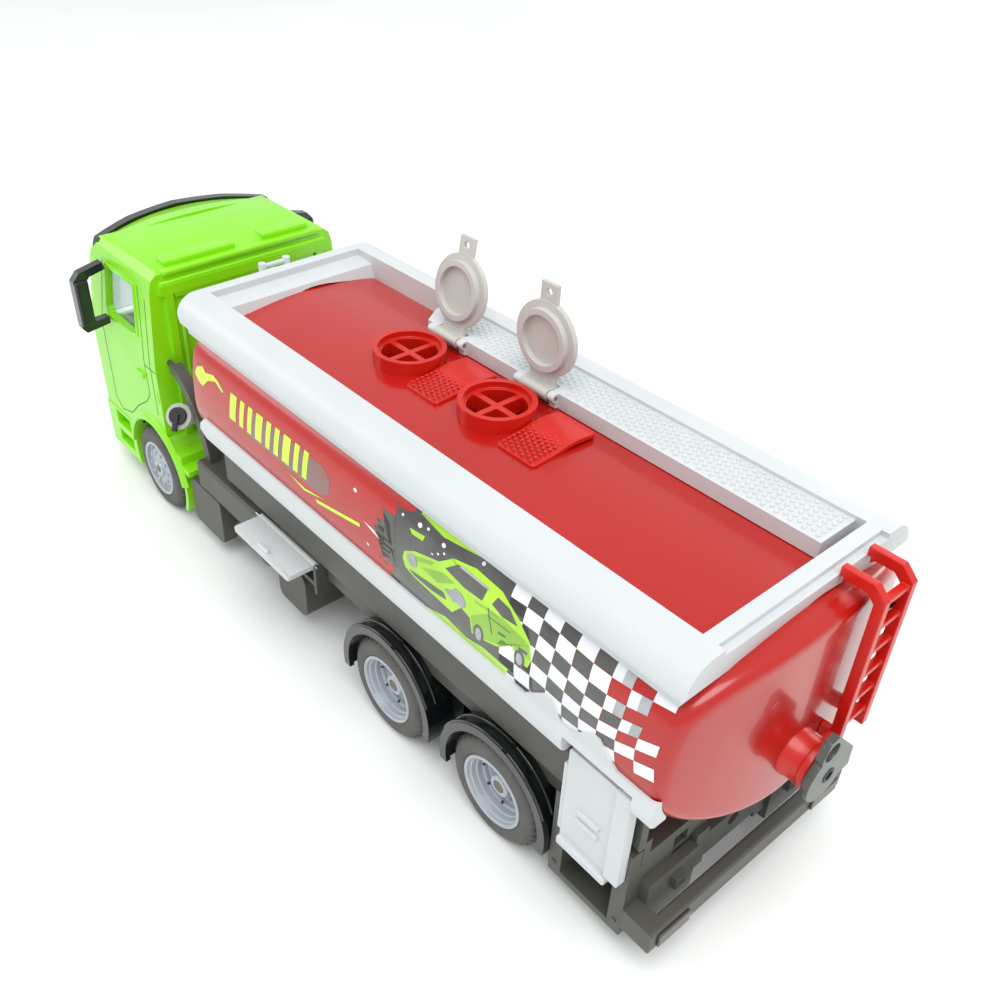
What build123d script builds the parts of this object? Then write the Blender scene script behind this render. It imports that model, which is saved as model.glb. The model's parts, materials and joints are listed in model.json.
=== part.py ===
"""Toy fuel tanker truck, 1:50, as separate pieces on a rigid three-axle chassis.

Millimetres. +X is the driving direction, +Y the truck's left, +Z up.
The origin is on the ground, under the middle of the truck's length and width.
"""
import os
from build123d import *

os.makedirs("parts", exist_ok=True)

# ---------------------------------------------------------------- driving sizes
# wheels and axles
tyre_r = 10.3
rim_r = 6.6
wheel_outer_y = 25.0
front_tyre_width = 7.0
rear_tyre_width = 11.5
front_axle_x = 68.2
rear_axle_xs = (-22.0, -50.8)
axle_r = 1.2
axle_clearance = 0.05

# tank
tank_rear_x = -86.0
tank_front_x = 43.5
rear_bulge = 4.0
front_bulge = 3.0
tank_half_width = 25.8
tank_wall_scale = 0.94
tank_mid_z = 43.0
tank_top_z = 59.8
tank_cap_seam_x = 37.0

# top frame
frame_front_x = 46.0
frame_rear_x = -82.0
frame_inner_front_x = 43.4
frame_inner_rear_x = -78.5
rail_inner_y = 17.8
rail_outer_y = 24.3
rail_top_z = 62.8
rail_bottom_z = 57.6

# filler necks and their lids
filler_xs = (2.4, -21.3)
filler_r = 6.75
filler_bore_r = 5.8
filler_top_z = 62.4
lid_r = 6.8
lid_thickness = 1.0
lid_plug_r = 5.5
lid_hinge_y = -8.8
lid_hinge_z = 61.4
lid_open_angles = (100.0, 91.0)
lid_pin_r = 0.45

# walkway on the right
walkway_front_x = 11.5
walkway_rear_x = -76.9
walkway_inner_y = -9.4
walkway_outer_y = -17.8
walkway_top_z = 62.2

# chassis
rail_y_inner = 6.5
rail_y_outer = 9.5
chassis_rail_bottom_z = 8.0
chassis_rail_top_z = 17.0
coupling_r = 1.25
coupling_z = 13.4
base_screw_xs = (54.0, -60.0)
base_screw_r = 1.1
air_tank_xs = (24.4, 34.4)
air_tank_r = 2.6
deck_bottom_z = 19.5
deck_top_z = 21.5
side_beam_bottom_z = 23.8
side_beam_top_z = 32.0
side_beam_outer_y = 23.0

# side boxes and flaps
box_front_x = 48.0
box_rear_x = 1.2
box_outer_y = 24.0
box_bottom_z = 15.9
box_top_z = 23.0
flap_front_x = 22.2
flap_rear_x = 2.2
flap_length = 6.3
flap_thickness = 1.0
flap_hinge_y = 23.3
flap_hinge_z = 22.6
flap_pin_r = 0.45

# rear cabinets and shutters
cabinet_front_x = -63.8
cabinet_rear_x = -79.0
cabinet_outer_y = 24.0
cabinet_bottom_z = 4.2
cabinet_top_z = 23.4
post_width = 2.6
shutter_height = 20.8
shutter_closed_bottom_z = 5.4
shutter_travel = 10.0
shutter_inner_y = 24.1
shutter_thickness = 1.1

mudguard_r = 12.9

# cab
cab_rear_x = 61.5
cab_front_x = 94.6
cab_half_width = 24.4
cab_roof_half_width = 22.4
cab_wall = 1.4
cab_floor_z = 17.0

# outlet and its swinging plate
outlet_y = 0.5
outlet_z = 35.6
plate_x = -90.4
plate_thickness = 1.2
plate_disc_r = 4.4
plate_hole_r = 1.6
plate_pin_r = 1.25

# crank knob behind the cab
knob_centre = Vector(54.9, 23.6, 30.9)
knob_axis = Vector(-0.56, 0.60, 0.57)


# the pieces are drawn from the front-most of the two rear axles; this puts the origin under the middle
centre_shift = -1.5


# ---------------------------------------------------------------- helpers
def save(name, shape):
    """Write one node's solid or group of solids, moved so the origin is under the truck's middle."""
    export_step(Pos(centre_shift, 0, 0) * shape, "parts/" + name + ".step")


def block(x0, x1, y0, y1, z0, z1):
    """A box from its two corners."""
    size = (abs(x1 - x0), abs(y1 - y0), abs(z1 - z0))
    middle = ((x0 + x1) / 2, (y0 + y1) / 2, (z0 + z1) / 2)
    return Pos(*middle) * Box(*size)


def round_block(x0, x1, y0, y1, z0, z1, radius, axis=Axis.Z):
    """A box with its edges along one axis rounded."""
    body = block(x0, x1, y0, y1, z0, z1)
    return fillet(body.edges().filter_by(axis), radius)


def soft_block(x0, x1, y0, y1, z0, z1, radius):
    """A box with every edge rounded."""
    body = block(x0, x1, y0, y1, z0, z1)
    return fillet(body.edges(), radius)


def rod_y(x, z, y0, y1, radius):
    """A round bar along Y."""
    return Pos(x, (y0 + y1) / 2, z) * Rot(90, 0, 0) * Cylinder(radius, abs(y1 - y0))


def rod_x(y, z, x0, x1, radius):
    """A round bar along X."""
    return Pos((x0 + x1) / 2, y, z) * Rot(0, 90, 0) * Cylinder(radius, abs(x1 - x0))


def rod_z(x, y, z0, z1, radius):
    """A round bar along Z."""
    return Pos(x, y, (z0 + z1) / 2) * Cylinder(radius, abs(z1 - z0))


def slab_xz(points, y0, y1):
    """A flat outline in X and Z, as thick as y0 to y1."""
    face = make_face(Polyline(*[(x, z) for x, z in points], close=True))
    low = min(y0, y1)
    return Pos(0, low, 0) * Rot(90, 0, 0) * extrude(face, amount=-abs(y1 - y0))


def slab_yz(points, x0, x1):
    """A flat outline in Y and Z, as long as x0 to x1."""
    face = make_face(Polyline(*[(y, z) for y, z in points], close=True))
    low = min(x0, x1)
    return Plane(origin=(low, 0, 0), x_dir=(0, 1, 0), z_dir=(1, 0, 0)) * extrude(face, amount=abs(x1 - x0))


def mirrored(shape):
    """The same piece on the truck's right."""
    return mirror(shape, about=Plane.XZ)


# ---------------------------------------------------------------- tank
def tank_section(scale):
    """The tank's cross-section in Y and Z: crowned top, round shoulders, shallow belly."""
    half = [(0, tank_top_z), (12, 58.95), (20, 57.2), (23.9, 54.4), (25.3, 50.2), (tank_half_width, 44.3),
            (25.2, 38.8), (22.5, 34.9), (16.3, 30.6), (8, 27.5), (0, 26.4)]
    right = [(-y, z) for y, z in reversed(half[1:-1])]
    ring = [(y * scale, tank_mid_z + (z - tank_mid_z) * scale) for y, z in half + right]
    return make_face(Spline(*ring, periodic=True))


def tank_body(scale, x0, x1):
    """The section run along the truck."""
    face = tank_section(scale)
    return Plane(origin=(x0, 0, 0), x_dir=(0, 1, 0), z_dir=(1, 0, 0)) * extrude(face, amount=x1 - x0)


def bulge_radius(depth):
    """Radius of an end that stands out by depth across the tank's width."""
    return (tank_half_width ** 2 + depth ** 2) / (2 * depth)


def tank_solid(inset, scale):
    """The tank's outside or inside, with its two bulged ends."""
    body = tank_body(scale, tank_rear_x - 1, tank_front_x + 1)
    rear_r = bulge_radius(rear_bulge)
    front_r = bulge_radius(front_bulge)
    rear = Pos(tank_rear_x + inset + rear_r, 0, tank_mid_z) * Cylinder(rear_r, 60)
    front = Pos(tank_front_x - inset - front_r, 0, tank_mid_z) * Cylinder(front_r, 60)
    return body & rear & front


tank_outside = tank_solid(0, 1.0)
rear_rim = tank_outside.edges().filter_by(lambda e: e.center().X < tank_rear_x + rear_bulge + 1)
tank_outside = fillet(rear_rim, 1.6)
tank_inside = tank_solid(1.4, tank_wall_scale)
tank_hollow = tank_outside - tank_inside

filler_holes = [rod_z(x, 0, 50, 66, filler_bore_r) for x in filler_xs]
outlet_socket = rod_x(outlet_y, outlet_z, tank_rear_x - 2, tank_rear_x + 6, 1.6)


def tank_shell():
    """The long shell with the rear end closed: two filler holes and the outlet hole."""
    shell = tank_hollow & block(tank_rear_x - 5, tank_cap_seam_x, -30, 30, 20, 70)
    for hole in filler_holes:
        shell -= hole
    return shell - outlet_socket


def tank_front_cap():
    """The front end, a separate shallow cap."""
    return tank_hollow & block(tank_cap_seam_x, tank_front_x + 5, -30, 30, 20, 70)


# ---------------------------------------------------------------- fillers and treads
def filler_neck(x):
    """A raised ring with a cross of two ribs; the four gaps open into the tank."""
    ring = rod_z(x, 0, 57.2, filler_top_z, filler_r) - rod_z(x, 0, 50, 66, filler_bore_r)
    ring -= tank_outside
    collar = rod_z(x, 0, 57.2, 61.2, filler_bore_r) - rod_z(x, 0, 50, 66, filler_bore_r - 0.6)
    ribs = block(x - filler_bore_r, x + filler_bore_r, -0.6, 0.6, 58.2, 61.1)
    ribs += block(x - 0.6, x + 0.6, -filler_bore_r, filler_bore_r, 58.2, 61.1)
    ribs = ribs & rod_z(x, 0, 50, 66, filler_bore_r - 0.3)
    neck = ring + collar + ribs
    return neck


def tread_plate(x0, x1):
    """A thin raised pad that follows the tank's crown."""
    pad = round_block(x0, x1, -7.6, 6.6, 57.5, 61.4, 0.8)
    lifted = Pos(0, 0, 0.9) * tank_body(1.0, x0 - 1, x1 + 1)
    return (pad & lifted) - tank_outside


# ---------------------------------------------------------------- top frame
def frame_rail_section():
    """The rail's profile in Y and Z: flat inner wall, bulging outer skin."""
    inner_top = (rail_inner_y, rail_top_z)
    crest = (rail_inner_y + 2.6, rail_top_z)
    shoulder = (23.5, 60.9)
    outer_low = (rail_outer_y, rail_bottom_z)
    under = (rail_outer_y - 1.0, rail_bottom_z - 0.4)
    line = Polyline((rail_inner_y, 55.5), inner_top, crest)
    curve = ThreePointArc(crest, shoulder, outer_low)
    close = Polyline(outer_low, under, (rail_outer_y - 1.0, 55.5), (rail_inner_y, 55.5))
    return make_face(line + curve + close)


def top_frame():
    """Two long rails joined by a trough at the front and a stepped bar at the rear."""
    section = frame_rail_section()
    length = frame_front_x - frame_rear_x
    plane = Plane(origin=(frame_rear_x, 0, 0), x_dir=(0, 1, 0), z_dir=(1, 0, 0))
    left = plane * extrude(section, amount=length)
    frame = left + mirrored(left)
    front = block(frame_inner_front_x, frame_front_x, -rail_inner_y - 1, rail_inner_y + 1, 56.6, rail_top_z)
    trough = slab_xz([(frame_inner_front_x, 57.5), (frame_inner_front_x, 61.4), (38.6, 60.9), (37.6, 57.5)],
                     -rail_inner_y - 1, rail_inner_y + 1)
    rear = block(frame_rear_x, frame_inner_rear_x, -rail_inner_y - 1, rail_inner_y + 1, 56.6, rail_top_z)
    rear -= block(frame_rear_x - 1, frame_rear_x + 1.2, -rail_inner_y - 2, rail_inner_y + 2, 61.9, 64)
    frame = frame + front + trough + rear
    # the outlet bulge of the front wall, with two posts and a bar on it
    bulge = rod_z(frame_front_x - 0.5, 0, 57.4, 60.6, 5.2) & block(frame_front_x - 1, 55, -8, 8, 50, 66)
    posts = rod_z(frame_front_x + 2.6, 2.9, 60, 63.2, 0.8) + rod_z(frame_front_x + 2.6, -2.9, 60, 63.2, 0.8)
    bar = rod_y(frame_front_x + 2.6, 62.4, -2.9, 2.9, 0.5)
    frame = frame + bulge + posts + bar
    # slanted ends of the rails
    rear_cut = slab_xz([(frame_rear_x - 1, 55), (frame_rear_x + 1.6, 55), (frame_rear_x - 1, 60.5)], -30, 30)
    front_cut = slab_xz([(frame_front_x + 0.01, 55), (frame_front_x - 2.6, 55), (frame_front_x + 0.01, 59.6)], -30, -6)
    frame = frame - rear_cut - front_cut - mirrored(front_cut)
    return frame - tank_outside - tank_inside


# ---------------------------------------------------------------- walkway and lids
def walkway():
    """The studded walkway's board with two hinge recesses and their lugs."""
    board = block(walkway_rear_x, walkway_front_x, walkway_outer_y, walkway_inner_y, 56.5, walkway_top_z)
    nose = [(walkway_front_x, walkway_inner_y - 4.2), (walkway_front_x, walkway_inner_y + 1),
            (walkway_front_x - 3.4, walkway_inner_y + 1)]
    for x in filler_xs:
        board -= block(x - 3.4, x + 3.4, walkway_inner_y - 1.9, walkway_inner_y + 1, 59.6, 66)
        for side in (-1, 1):
            near = x + side * 3.4
            far = x + side * 4.9
            lug = rod_x(lid_hinge_y, lid_hinge_z, near, far, 0.8)
            lug += block(near, far, walkway_inner_y - 0.5, lid_hinge_y, 59.2, lid_hinge_z + 0.8)
            board += lug
    face = make_face(Polyline(*nose, close=True))
    board -= Pos(0, 0, 50) * extrude(face, amount=20)
    for x in filler_xs:
        board -= rod_x(lid_hinge_y, lid_hinge_z, x - 6.0, x + 6.0, lid_pin_r)
    return board - tank_outside


def lid(x, angle):
    """A round lid with a plug ring, a finger tab and a hinge barrel, swung open."""
    base = filler_top_z + 0.1
    disc = rod_z(x, 0, base, base + lid_thickness, lid_r)
    plug = rod_z(x, 0, base - 1.0, base, lid_plug_r) - rod_z(x, 0, base - 2, base, lid_plug_r - 1.1)
    tab = block(x - 1.9, x + 1.9, 5.5, 10.0, base + 0.1, base + 0.9)
    tab -= rod_z(x, 8.4, base - 1, base + 2, 0.7)
    arm = block(x - 2.9, x + 2.9, lid_hinge_y, -5.4, base, base + lid_thickness)
    barrel = rod_x(lid_hinge_y, lid_hinge_z, x - 3.25, x + 3.25, 1.0)
    web = block(x - 3.25, x + 3.25, lid_hinge_y - 1.0, lid_hinge_y + 0.9, lid_hinge_z, base + lid_thickness)
    shape = disc + plug + tab + arm + barrel + web
    shape -= rod_x(lid_hinge_y, lid_hinge_z, x - 5, x + 5, lid_pin_r + axle_clearance)
    hinge = Axis((x, lid_hinge_y, lid_hinge_z), (1, 0, 0))
    return shape.rotate(hinge, angle)


def lid_pins():
    """The two hinge pins."""
    return Compound([rod_x(lid_hinge_y, lid_hinge_z, x - 4.9, x + 4.9, lid_pin_r) for x in filler_xs])


# ---------------------------------------------------------------- lower side rails
def lower_rail(side):
    """The pale strip along the tank's flank: bullet nose, two raised peaks, a notch where the shutter slides up."""
    section = [(23.2, 35.3), (25.5, 35.3), (26.4, 36.0), (26.7, 37.8), (26.2, 40.3), (24.0, 40.3), (23.2, 38.0)]
    strip = slab_yz(section, -82.2, 37.6)
    nose = slab_xz([(38, 34.0), (38, 38.0), (33.6, 34.0)], 20, 28)
    nose += slab_xz([(38, 42.0), (38, 38.6), (34.6, 42.0)], 20, 28)
    strip -= nose
    for x0, x1 in ((-57.0, -65.2), (-66.2, -75.6)):
        peak = slab_xz([(x0, 40.0), (x0 - 4.4, 43.6), (x0 - 5.6, 43.6), (x1, 40.0)], 24.0, 26.2)
        strip += peak
    notch = slab_yz([(24.0, 34.5), (24.0, 37.4), (25.2, 37.5), (27.2, 39.6), (27.2, 34.5)], -78.7, -65.8)
    strip -= notch
    strip -= tank_outside
    return strip if side > 0 else mirrored(strip)


# ---------------------------------------------------------------- chassis and body under the tank
def chassis_frame():
    """Two long rails, cross-members with a coupling hole at the rear, screw bosses and reservoir ledges."""
    frame = block(-80, 90, rail_y_inner, rail_y_outer, chassis_rail_bottom_z, chassis_rail_top_z)
    frame += mirrored(frame)
    for x in (88.0, 40.0, 8.0, -36.4, -66.0, -78.5):
        frame += block(x - 1.5, x + 1.5, -rail_y_inner, rail_y_inner, 9.5, 15.5)
    frame -= rod_x(0, coupling_z, -85, -70, coupling_r)
    for x in air_tank_xs:
        for side in (1, -1):
            frame += block(x - 1.0, x + 1.0, side * rail_y_outer, side * 21.0, 12.95, box_bottom_z)
    for x in base_screw_xs:
        frame += block(x - 3.0, x + 3.0, -rail_y_inner, rail_y_inner, 9.5, 15.5)
        frame -= rod_z(x, 0, 8.5, 16.5, base_screw_r)
    for x in (front_axle_x,) + rear_axle_xs:
        frame -= rod_y(x, tyre_r, -20, 20, axle_r + axle_clearance)
    return frame


def subframe():
    """The dark deck that carries the tank, with a deep beam along each side."""
    deck = block(-79.0, 48.0, -11.0, 11.0, chassis_rail_top_z, deck_bottom_z)
    deck += block(-79.0, 48.0, -21.4, 21.4, deck_bottom_z, deck_top_z) - block(
        box_rear_x - 0.5, 48.5, -30, -10.9, 10, 30) - block(box_rear_x - 0.5, 48.5, 10.9, 30, 10, 30)
    beam = round_block(-79.0, 36.0, 21.4, side_beam_outer_y, side_beam_bottom_z, side_beam_top_z, 0.7, Axis.X)
    web = block(-79.0, box_rear_x - 0.5, 20.0, 21.6, deck_bottom_z, side_beam_bottom_z + 1.0)
    for x, reach in ((-70.0, 16.0), (-36.4, 16.0), (-4.0, 16.0), (28.0, 10.9)):
        deck += block(x - 2.0, x + 2.0, -reach, reach, deck_top_z - 0.2, 31.0)
    deck += beam + mirrored(beam) + web + mirrored(web)
    for x in rear_axle_xs:
        deck -= rod_y(x, tyre_r, 12.3, 30, mudguard_r + 0.05)
        deck -= rod_y(x, tyre_r, -30, -12.3, mudguard_r + 0.05)
    front_ties = block(34.5, 36.0, 10.9, 22.0, deck_bottom_z, 31.0)
    deck += front_ties + mirrored(front_ties)
    return deck - tank_outside - tank_inside


subframe_shape = subframe()


chassis_shape = chassis_frame()


def side_box():
    """A long box beside the rail: an equipment bay at the rear, a closed part in front."""
    box = block(box_rear_x, box_front_x, 11.0, box_outer_y, box_bottom_z, box_top_z)
    box = fillet(box.edges().filter_by(Axis.X).sort_by(Axis.Y)[-2:], 0.8)
    bay = block(flap_rear_x - 0.2, flap_front_x + 0.2, 14.0, 26.0, box_bottom_z + 1.0, box_top_z + 2)
    box -= bay
    box -= block(flap_rear_x - 0.2, flap_front_x + 0.2, 22.6, 26.0, box_bottom_z - 1, box_bottom_z + 2)
    roof = block(flap_rear_x - 0.2, flap_front_x + 0.2, 14.0, flap_hinge_y - 1.1, box_top_z - 1.0, box_top_z)
    box += roof
    box -= rod_x(flap_hinge_y, flap_hinge_z, box_rear_x + 0.2, flap_front_x + 1.6, flap_pin_r)
    box -= block(34.5, 36.0, 10.0, 22.0, deck_bottom_z, 31.0)
    return box


def flap(is_open):
    """A flat door hinged along its upper edge, with a small finger ridge."""
    hy = flap_hinge_y
    hz = flap_hinge_z
    plate = block(flap_rear_x, flap_front_x, hy, hy + flap_length, hz - 0.35, hz + flap_thickness - 0.35)
    plate = fillet(plate.edges().filter_by(Axis.Z).sort_by(Axis.Y)[-2:], 0.5)
    ridge = soft_block(10.4, 14.0, hy + 5.0, hy + 5.9, hz + 0.2, hz + 1.5, 0.3)
    barrel = rod_x(hy, hz, flap_rear_x, flap_front_x, 0.85)
    door = plate + ridge + barrel
    door -= rod_x(hy, hz, flap_rear_x - 1, flap_front_x + 1, flap_pin_r + axle_clearance)
    if is_open:
        return door
    hinge = Axis((0, hy, hz), (1, 0, 0))
    return mirrored(door.rotate(hinge, -90))


def flap_pins():
    """One hinge pin for each flap."""
    pin = rod_x(flap_hinge_y, flap_hinge_z, box_rear_x + 0.2, flap_front_x + 1.6, flap_pin_r)
    return Compound([pin, mirrored(pin)])


def battery_box():
    """The flat-sided box behind the front wheel."""
    box = round_block(39.8, 53.0, 10.0, 23.9, 4.4, 15.8, 1.2, Axis.Y)
    return box


def fuel_tank():
    """The small flat fuel tank under the equipment bay."""
    tank = block(7.4, 18.0, 10.0, 23.0, 5.0, 15.8)
    return fillet(tank.edges().filter_by(Axis.Y), 2.0)


def air_tanks():
    """Two air reservoirs on each side, with domed ends."""
    tanks = []
    for x in air_tank_xs:
        tank = rod_y(x, 12.95 - air_tank_r, 10.0, 22.6, air_tank_r)
        tank = fillet(tank.edges().filter_by(lambda e: e.center().Y > 20), 1.0)
        tanks.append(tank)
        tanks.append(mirrored(tank))
    return Compound(tanks)


def mudguard():
    """One double mudguard over a side's two rear wheels, with a raised spine on each arch."""
    outer_r = mudguard_r
    inner_r = 11.9
    guard = None
    for x in rear_axle_xs:
        arch = rod_y(x, tyre_r, 12.6, 25.3, outer_r) - rod_y(x, tyre_r, 12, 26, inner_r)
        arch -= block(x - 20, x + 20, 10, 30, -10, 7.6)
        lip = rod_y(x, tyre_r, 24.3, 25.3, outer_r) - rod_y(x, tyre_r, 24, 26, inner_r - 0.6)
        lip -= block(x - 20, x + 20, 10, 30, -10, 7.6)
        arch += lip
        guard = arch if guard is None else guard + arch
    middle = (rear_axle_xs[0] + rear_axle_xs[1]) / 2
    guard += block(middle - 1.5, middle + 1.5, 12.6, 20.0, 12.0, 19.5)
    guard += block(middle - 3.0, middle + 3.0, rail_y_outer, 14.0, 13.0, 16.5)
    return guard - subframe_shape


def cabinet():
    """The open rear cabinet: two posts, floor, head and back wall."""
    body = block(cabinet_rear_x, cabinet_front_x, 14.0, cabinet_outer_y, cabinet_bottom_z, cabinet_top_z)
    inside = block(cabinet_rear_x + post_width, cabinet_front_x - post_width, 15.0, 26.0,
                   cabinet_bottom_z + 1.4, cabinet_top_z - 1.2)
    body -= inside
    body += block(cabinet_front_x - 0.2, cabinet_rear_x + 0.2, rail_y_outer, 14.2, cabinet_bottom_z + 4.5, 16.5)
    body -= block(-90, -40, 10, 21.65, deck_bottom_z, 30)
    return body - subframe_shape


def shutter(lift):
    """A flat sliding door with a bottom lip and two pull ridges."""
    x0 = -76.2
    x1 = -66.4
    bottom = shutter_closed_bottom_z + lift
    y0 = shutter_inner_y
    door = block(x0, x1, y0, y0 + shutter_thickness, bottom, bottom + shutter_height)
    door = fillet(door.edges().filter_by(Axis.Y), 0.5)
    door += soft_block(x0, x1, y0 + 0.2, y0 + shutter_thickness + 0.9, bottom, bottom + 1.6, 0.4)
    for dz in (7.4, 9.4):
        door += soft_block(-73.6, -69.2, y0 + 0.6, y0 + shutter_thickness + 0.5, bottom + dz, bottom + dz + 0.9, 0.25)
    return door


def shutter_guide():
    """A tall channel that holds the door's rear edge, and a low rib beside its front edge."""
    outer = shutter_inner_y + shutter_thickness + 0.7
    guide = block(-78.4, -76.35, cabinet_outer_y, outer, 17.5, 35.2)
    guide += block(-78.4, -76.35, 24.3, outer, 35.0, 37.0)
    guide += block(-76.4, -75.7, outer - 0.55, outer, 17.5, 37.0)
    front = block(-66.25, -65.5, cabinet_outer_y, 25.0, 17.5, 32.2)
    return guide + front


def rear_bumper():
    """The rear cross plate, the under-run beam and the arms between them."""
    beam = round_block(-84.6, -82.4, -24.0, 24.0, 6.6, 11.0, 0.5, Axis.Y)
    arm = block(-83.0, cabinet_rear_x, 20.6, 24.0, 6.6, 11.0)
    beam += arm + mirrored(arm)
    plate = block(-80.6, -79.0, 9.6, 20.7, 5.5, 15.5) 
    beam += plate + mirrored(plate)
    stud = block(-81.6, -80.5, 13.0, 15.4, 10.8, 13.2)
    beam += stud + mirrored(stud)
    return beam - chassis_shape


def tail_lights():
    """Two lamp strips on the beam's rear face."""
    lamp = round_block(-85.1, -84.6, 15.5, 22.5, 7.4, 10.2, 0.24, Axis.Y)
    return Compound([lamp, mirrored(lamp)])


# ---------------------------------------------------------------- rear face fittings
def ladder():
    """Two stiles with hooked tops and five rungs, standing off the tank's rear face."""
    outline = [(-82.0, 60.2), (-82.0, 63.4), (-87.0, 63.4), (-89.0, 61.4), (-89.0, 34.2), (-87.4, 34.2),
               (-87.4, 60.4), (-86.2, 61.6), (-83.4, 61.6)]
    stile = slab_xz(outline, -7.2, -5.9)
    other = slab_xz(outline, -13.7, -12.4)
    rails = stile + other
    for i in range(6):
        z = 37.0 + i * 4.6
        rails += block(-88.6, -87.4, -12.6, -7.0, z, z + 0.9)
    foot = block(-88.0, -83.8, -7.2, -5.9, 34.2, 36.4) + block(-88.0, -83.2, -13.7, -12.4, 34.2, 36.4)
    rails += foot
    rails -= tank_outside
    return rails - block(-82.6, -70, -20, 0, 50, 61.9)


def outlet_spigot():
    """The stepped outlet stub on the rear face, drilled for the pivot pin, with a web to the ladder's foot."""
    stub = rod_x(outlet_y, outlet_z, -87.4, -84.0, 2.1) + rod_x(outlet_y, outlet_z, plate_x + 0.1, -87.4, 2.9)
    stub += rod_x(outlet_y, outlet_z, -89.0, -88.4, 3.2)
    stub += block(-88.4, -87.4, -5.9, outlet_y, outlet_z - 1.2, outlet_z + 1.0)
    stub -= rod_x(outlet_y, outlet_z, -95, -86.4, plate_pin_r)
    return stub - tank_outside


def valve_plate():
    """The swinging cover: a disc on the pivot with a square-cornered head that has a hanging hole."""
    x0 = plate_x - plate_thickness
    disc = rod_x(1.0, 35.8, x0, plate_x, plate_disc_r)
    head = slab_yz([(3.6, 40.2), (2.7, 43.3), (0.8, 43.7), (-4.7, 37.8), (-5.0, 33.9), (-2.6, 33.4), (2.0, 35.0)],
                   x0, plate_x)
    head = fillet(head.edges().filter_by(Axis.X).sort_by(Axis.Z)[-4:], 0.6)
    plate = disc + head
    plate -= rod_x(outlet_y, outlet_z, x0 - 1, plate_x + 1, plate_pin_r + axle_clearance)
    plate -= rod_x(1.5, 41.0, x0 - 1, plate_x + 1, plate_hole_r)
    return plate


def valve_pin():
    """The plate's pivot pin, with a socket in its end."""
    pin = rod_x(outlet_y, outlet_z, plate_x - plate_thickness - 0.1, -86.4, plate_pin_r)
    return pin - rod_x(outlet_y, outlet_z, plate_x - plate_thickness - 0.5, plate_x - 0.2, 0.8)


# ---------------------------------------------------------------- behind the cab
def intake_arch():
    """The curved duct between the cab and the tank, standing on a foot block."""
    outer = Spline((44.8, 23.0), (45.8, 28.0), (49.2, 35.0), (53.6, 39.6), (58.2, 41.6))
    inner = Spline((58.8, 39.6), (54.8, 37.6), (51.0, 33.4), (48.2, 27.6), (47.4, 23.0))
    face = make_face(outer + Line((58.2, 41.6), (58.8, 39.6)) + inner + Line((47.4, 23.0), (44.8, 23.0)))
    duct = Pos(0, 19.6, 0) * Rot(90, 0, 0) * extrude(face, amount=-2.6)
    strut = rod_x(20.9, 40.4, 57.0, cab_rear_x, 0.7) - cab_back_ribs()
    return duct + strut


def knob_plane(offset):
    """A plane across the knob's axis, offset along it."""
    axis = knob_axis.normalized()
    return Plane(origin=knob_centre + axis * offset, z_dir=axis)


def knob_collar():
    """The pale ring on its slanted stub."""
    ring = knob_plane(-0.9) * Cylinder(2.85, 1.8)
    ring -= knob_plane(0.6) * Cylinder(1.95, 2.4)
    stub = knob_plane(-7.6) * Cylinder(1.3, 12.0)
    stub &= block(40, cab_rear_x, 0, 40, 0, 60)
    collar = ring + stub - cab_back_ribs()
    bore = knob_plane(-2.8) * Cylinder(0.65, 4.7)
    return collar - bore


def knob_crank():
    """The dark hub turning in the ring, with a stubby lever."""
    hub = knob_plane(0.25) * Cylinder(1.88, 1.5)
    shaft = knob_plane(-2.4) * Cylinder(0.6, 4.0)
    lever = knob_plane(1.3) * Rot(0, 0, 205) * Pos(1.6, 0, 0) * Box(3.8, 1.0, 0.9)
    return hub + shaft + lever


# ---------------------------------------------------------------- cab
def cab_outline(inset):
    """The cab's side view: upright back, flat front, raked screen, crowned roof."""
    rear = cab_rear_x + inset
    front = cab_front_x - inset
    low = cab_floor_z + (inset * 2)
    body = Polyline((rear, 60.8 - inset), (rear, low), (front, low), (front, 37.0), (91.6 - inset, 56.0 - inset * 0.5),
                    (89.0 - inset, 60.8 - inset))
    roof = ThreePointArc((89.0 - inset, 60.8 - inset), (76.0, 63.3 - inset), (rear, 60.8 - inset))
    return make_face(body + roof)


def cab_width(inset):
    """A long bar with the cab's front view: upright sides, leaning window pillars, square shoulders."""
    wide = cab_half_width - inset
    top = cab_roof_half_width - inset
    shoulder = top - 2.0
    left = Polyline((0, 5), (wide, 5), (wide, 40.0), (top + 0.5, 57.4 - inset), (top - 0.2, 59.8 - inset),
                    (shoulder, 61.3 - inset))
    roof = ThreePointArc((shoulder, 61.3 - inset), (0, 63.3 - inset), (-shoulder, 61.3 - inset))
    right = Polyline((-shoulder, 61.3 - inset), (-top + 0.2, 59.8 - inset), (-top - 0.5, 57.4 - inset),
                     (-wide, 40.0), (-wide, 5), (0, 5))
    face = make_face(left + roof + right)
    return Plane(origin=(50, 0, 0), x_dir=(0, 1, 0), z_dir=(1, 0, 0)) * extrude(face, amount=60)


def cab_envelope(inset):
    """The side view widened to the cab's width."""
    body = Pos(0, -30, 0) * Rot(90, 0, 0) * extrude(cab_outline(inset), amount=-60)
    return body & cab_width(inset)


def cab_brow():
    """The bowed header over the windscreen."""
    front = ThreePointArc((87.4, -21.8), (92.2, 0), (87.4, 21.8))
    face = make_face(front + Line((87.4, 21.8), (87.4, -21.8)))
    brow = Pos(0, 0, 57.0) * extrude(face, amount=8)
    brow &= slab_xz([(86.0, 57.0), (93.0, 57.0), (93.0, 60.2), (89.0, 60.8), (86.0, 61.7)], -30, 30)
    return brow & cab_width(0)


side_window = [(83.4, 44.8), (84.4, 46.2), (83.0, 56.2), (69.6, 56.2), (69.6, 45.4), (73.0, 44.6)]


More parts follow.
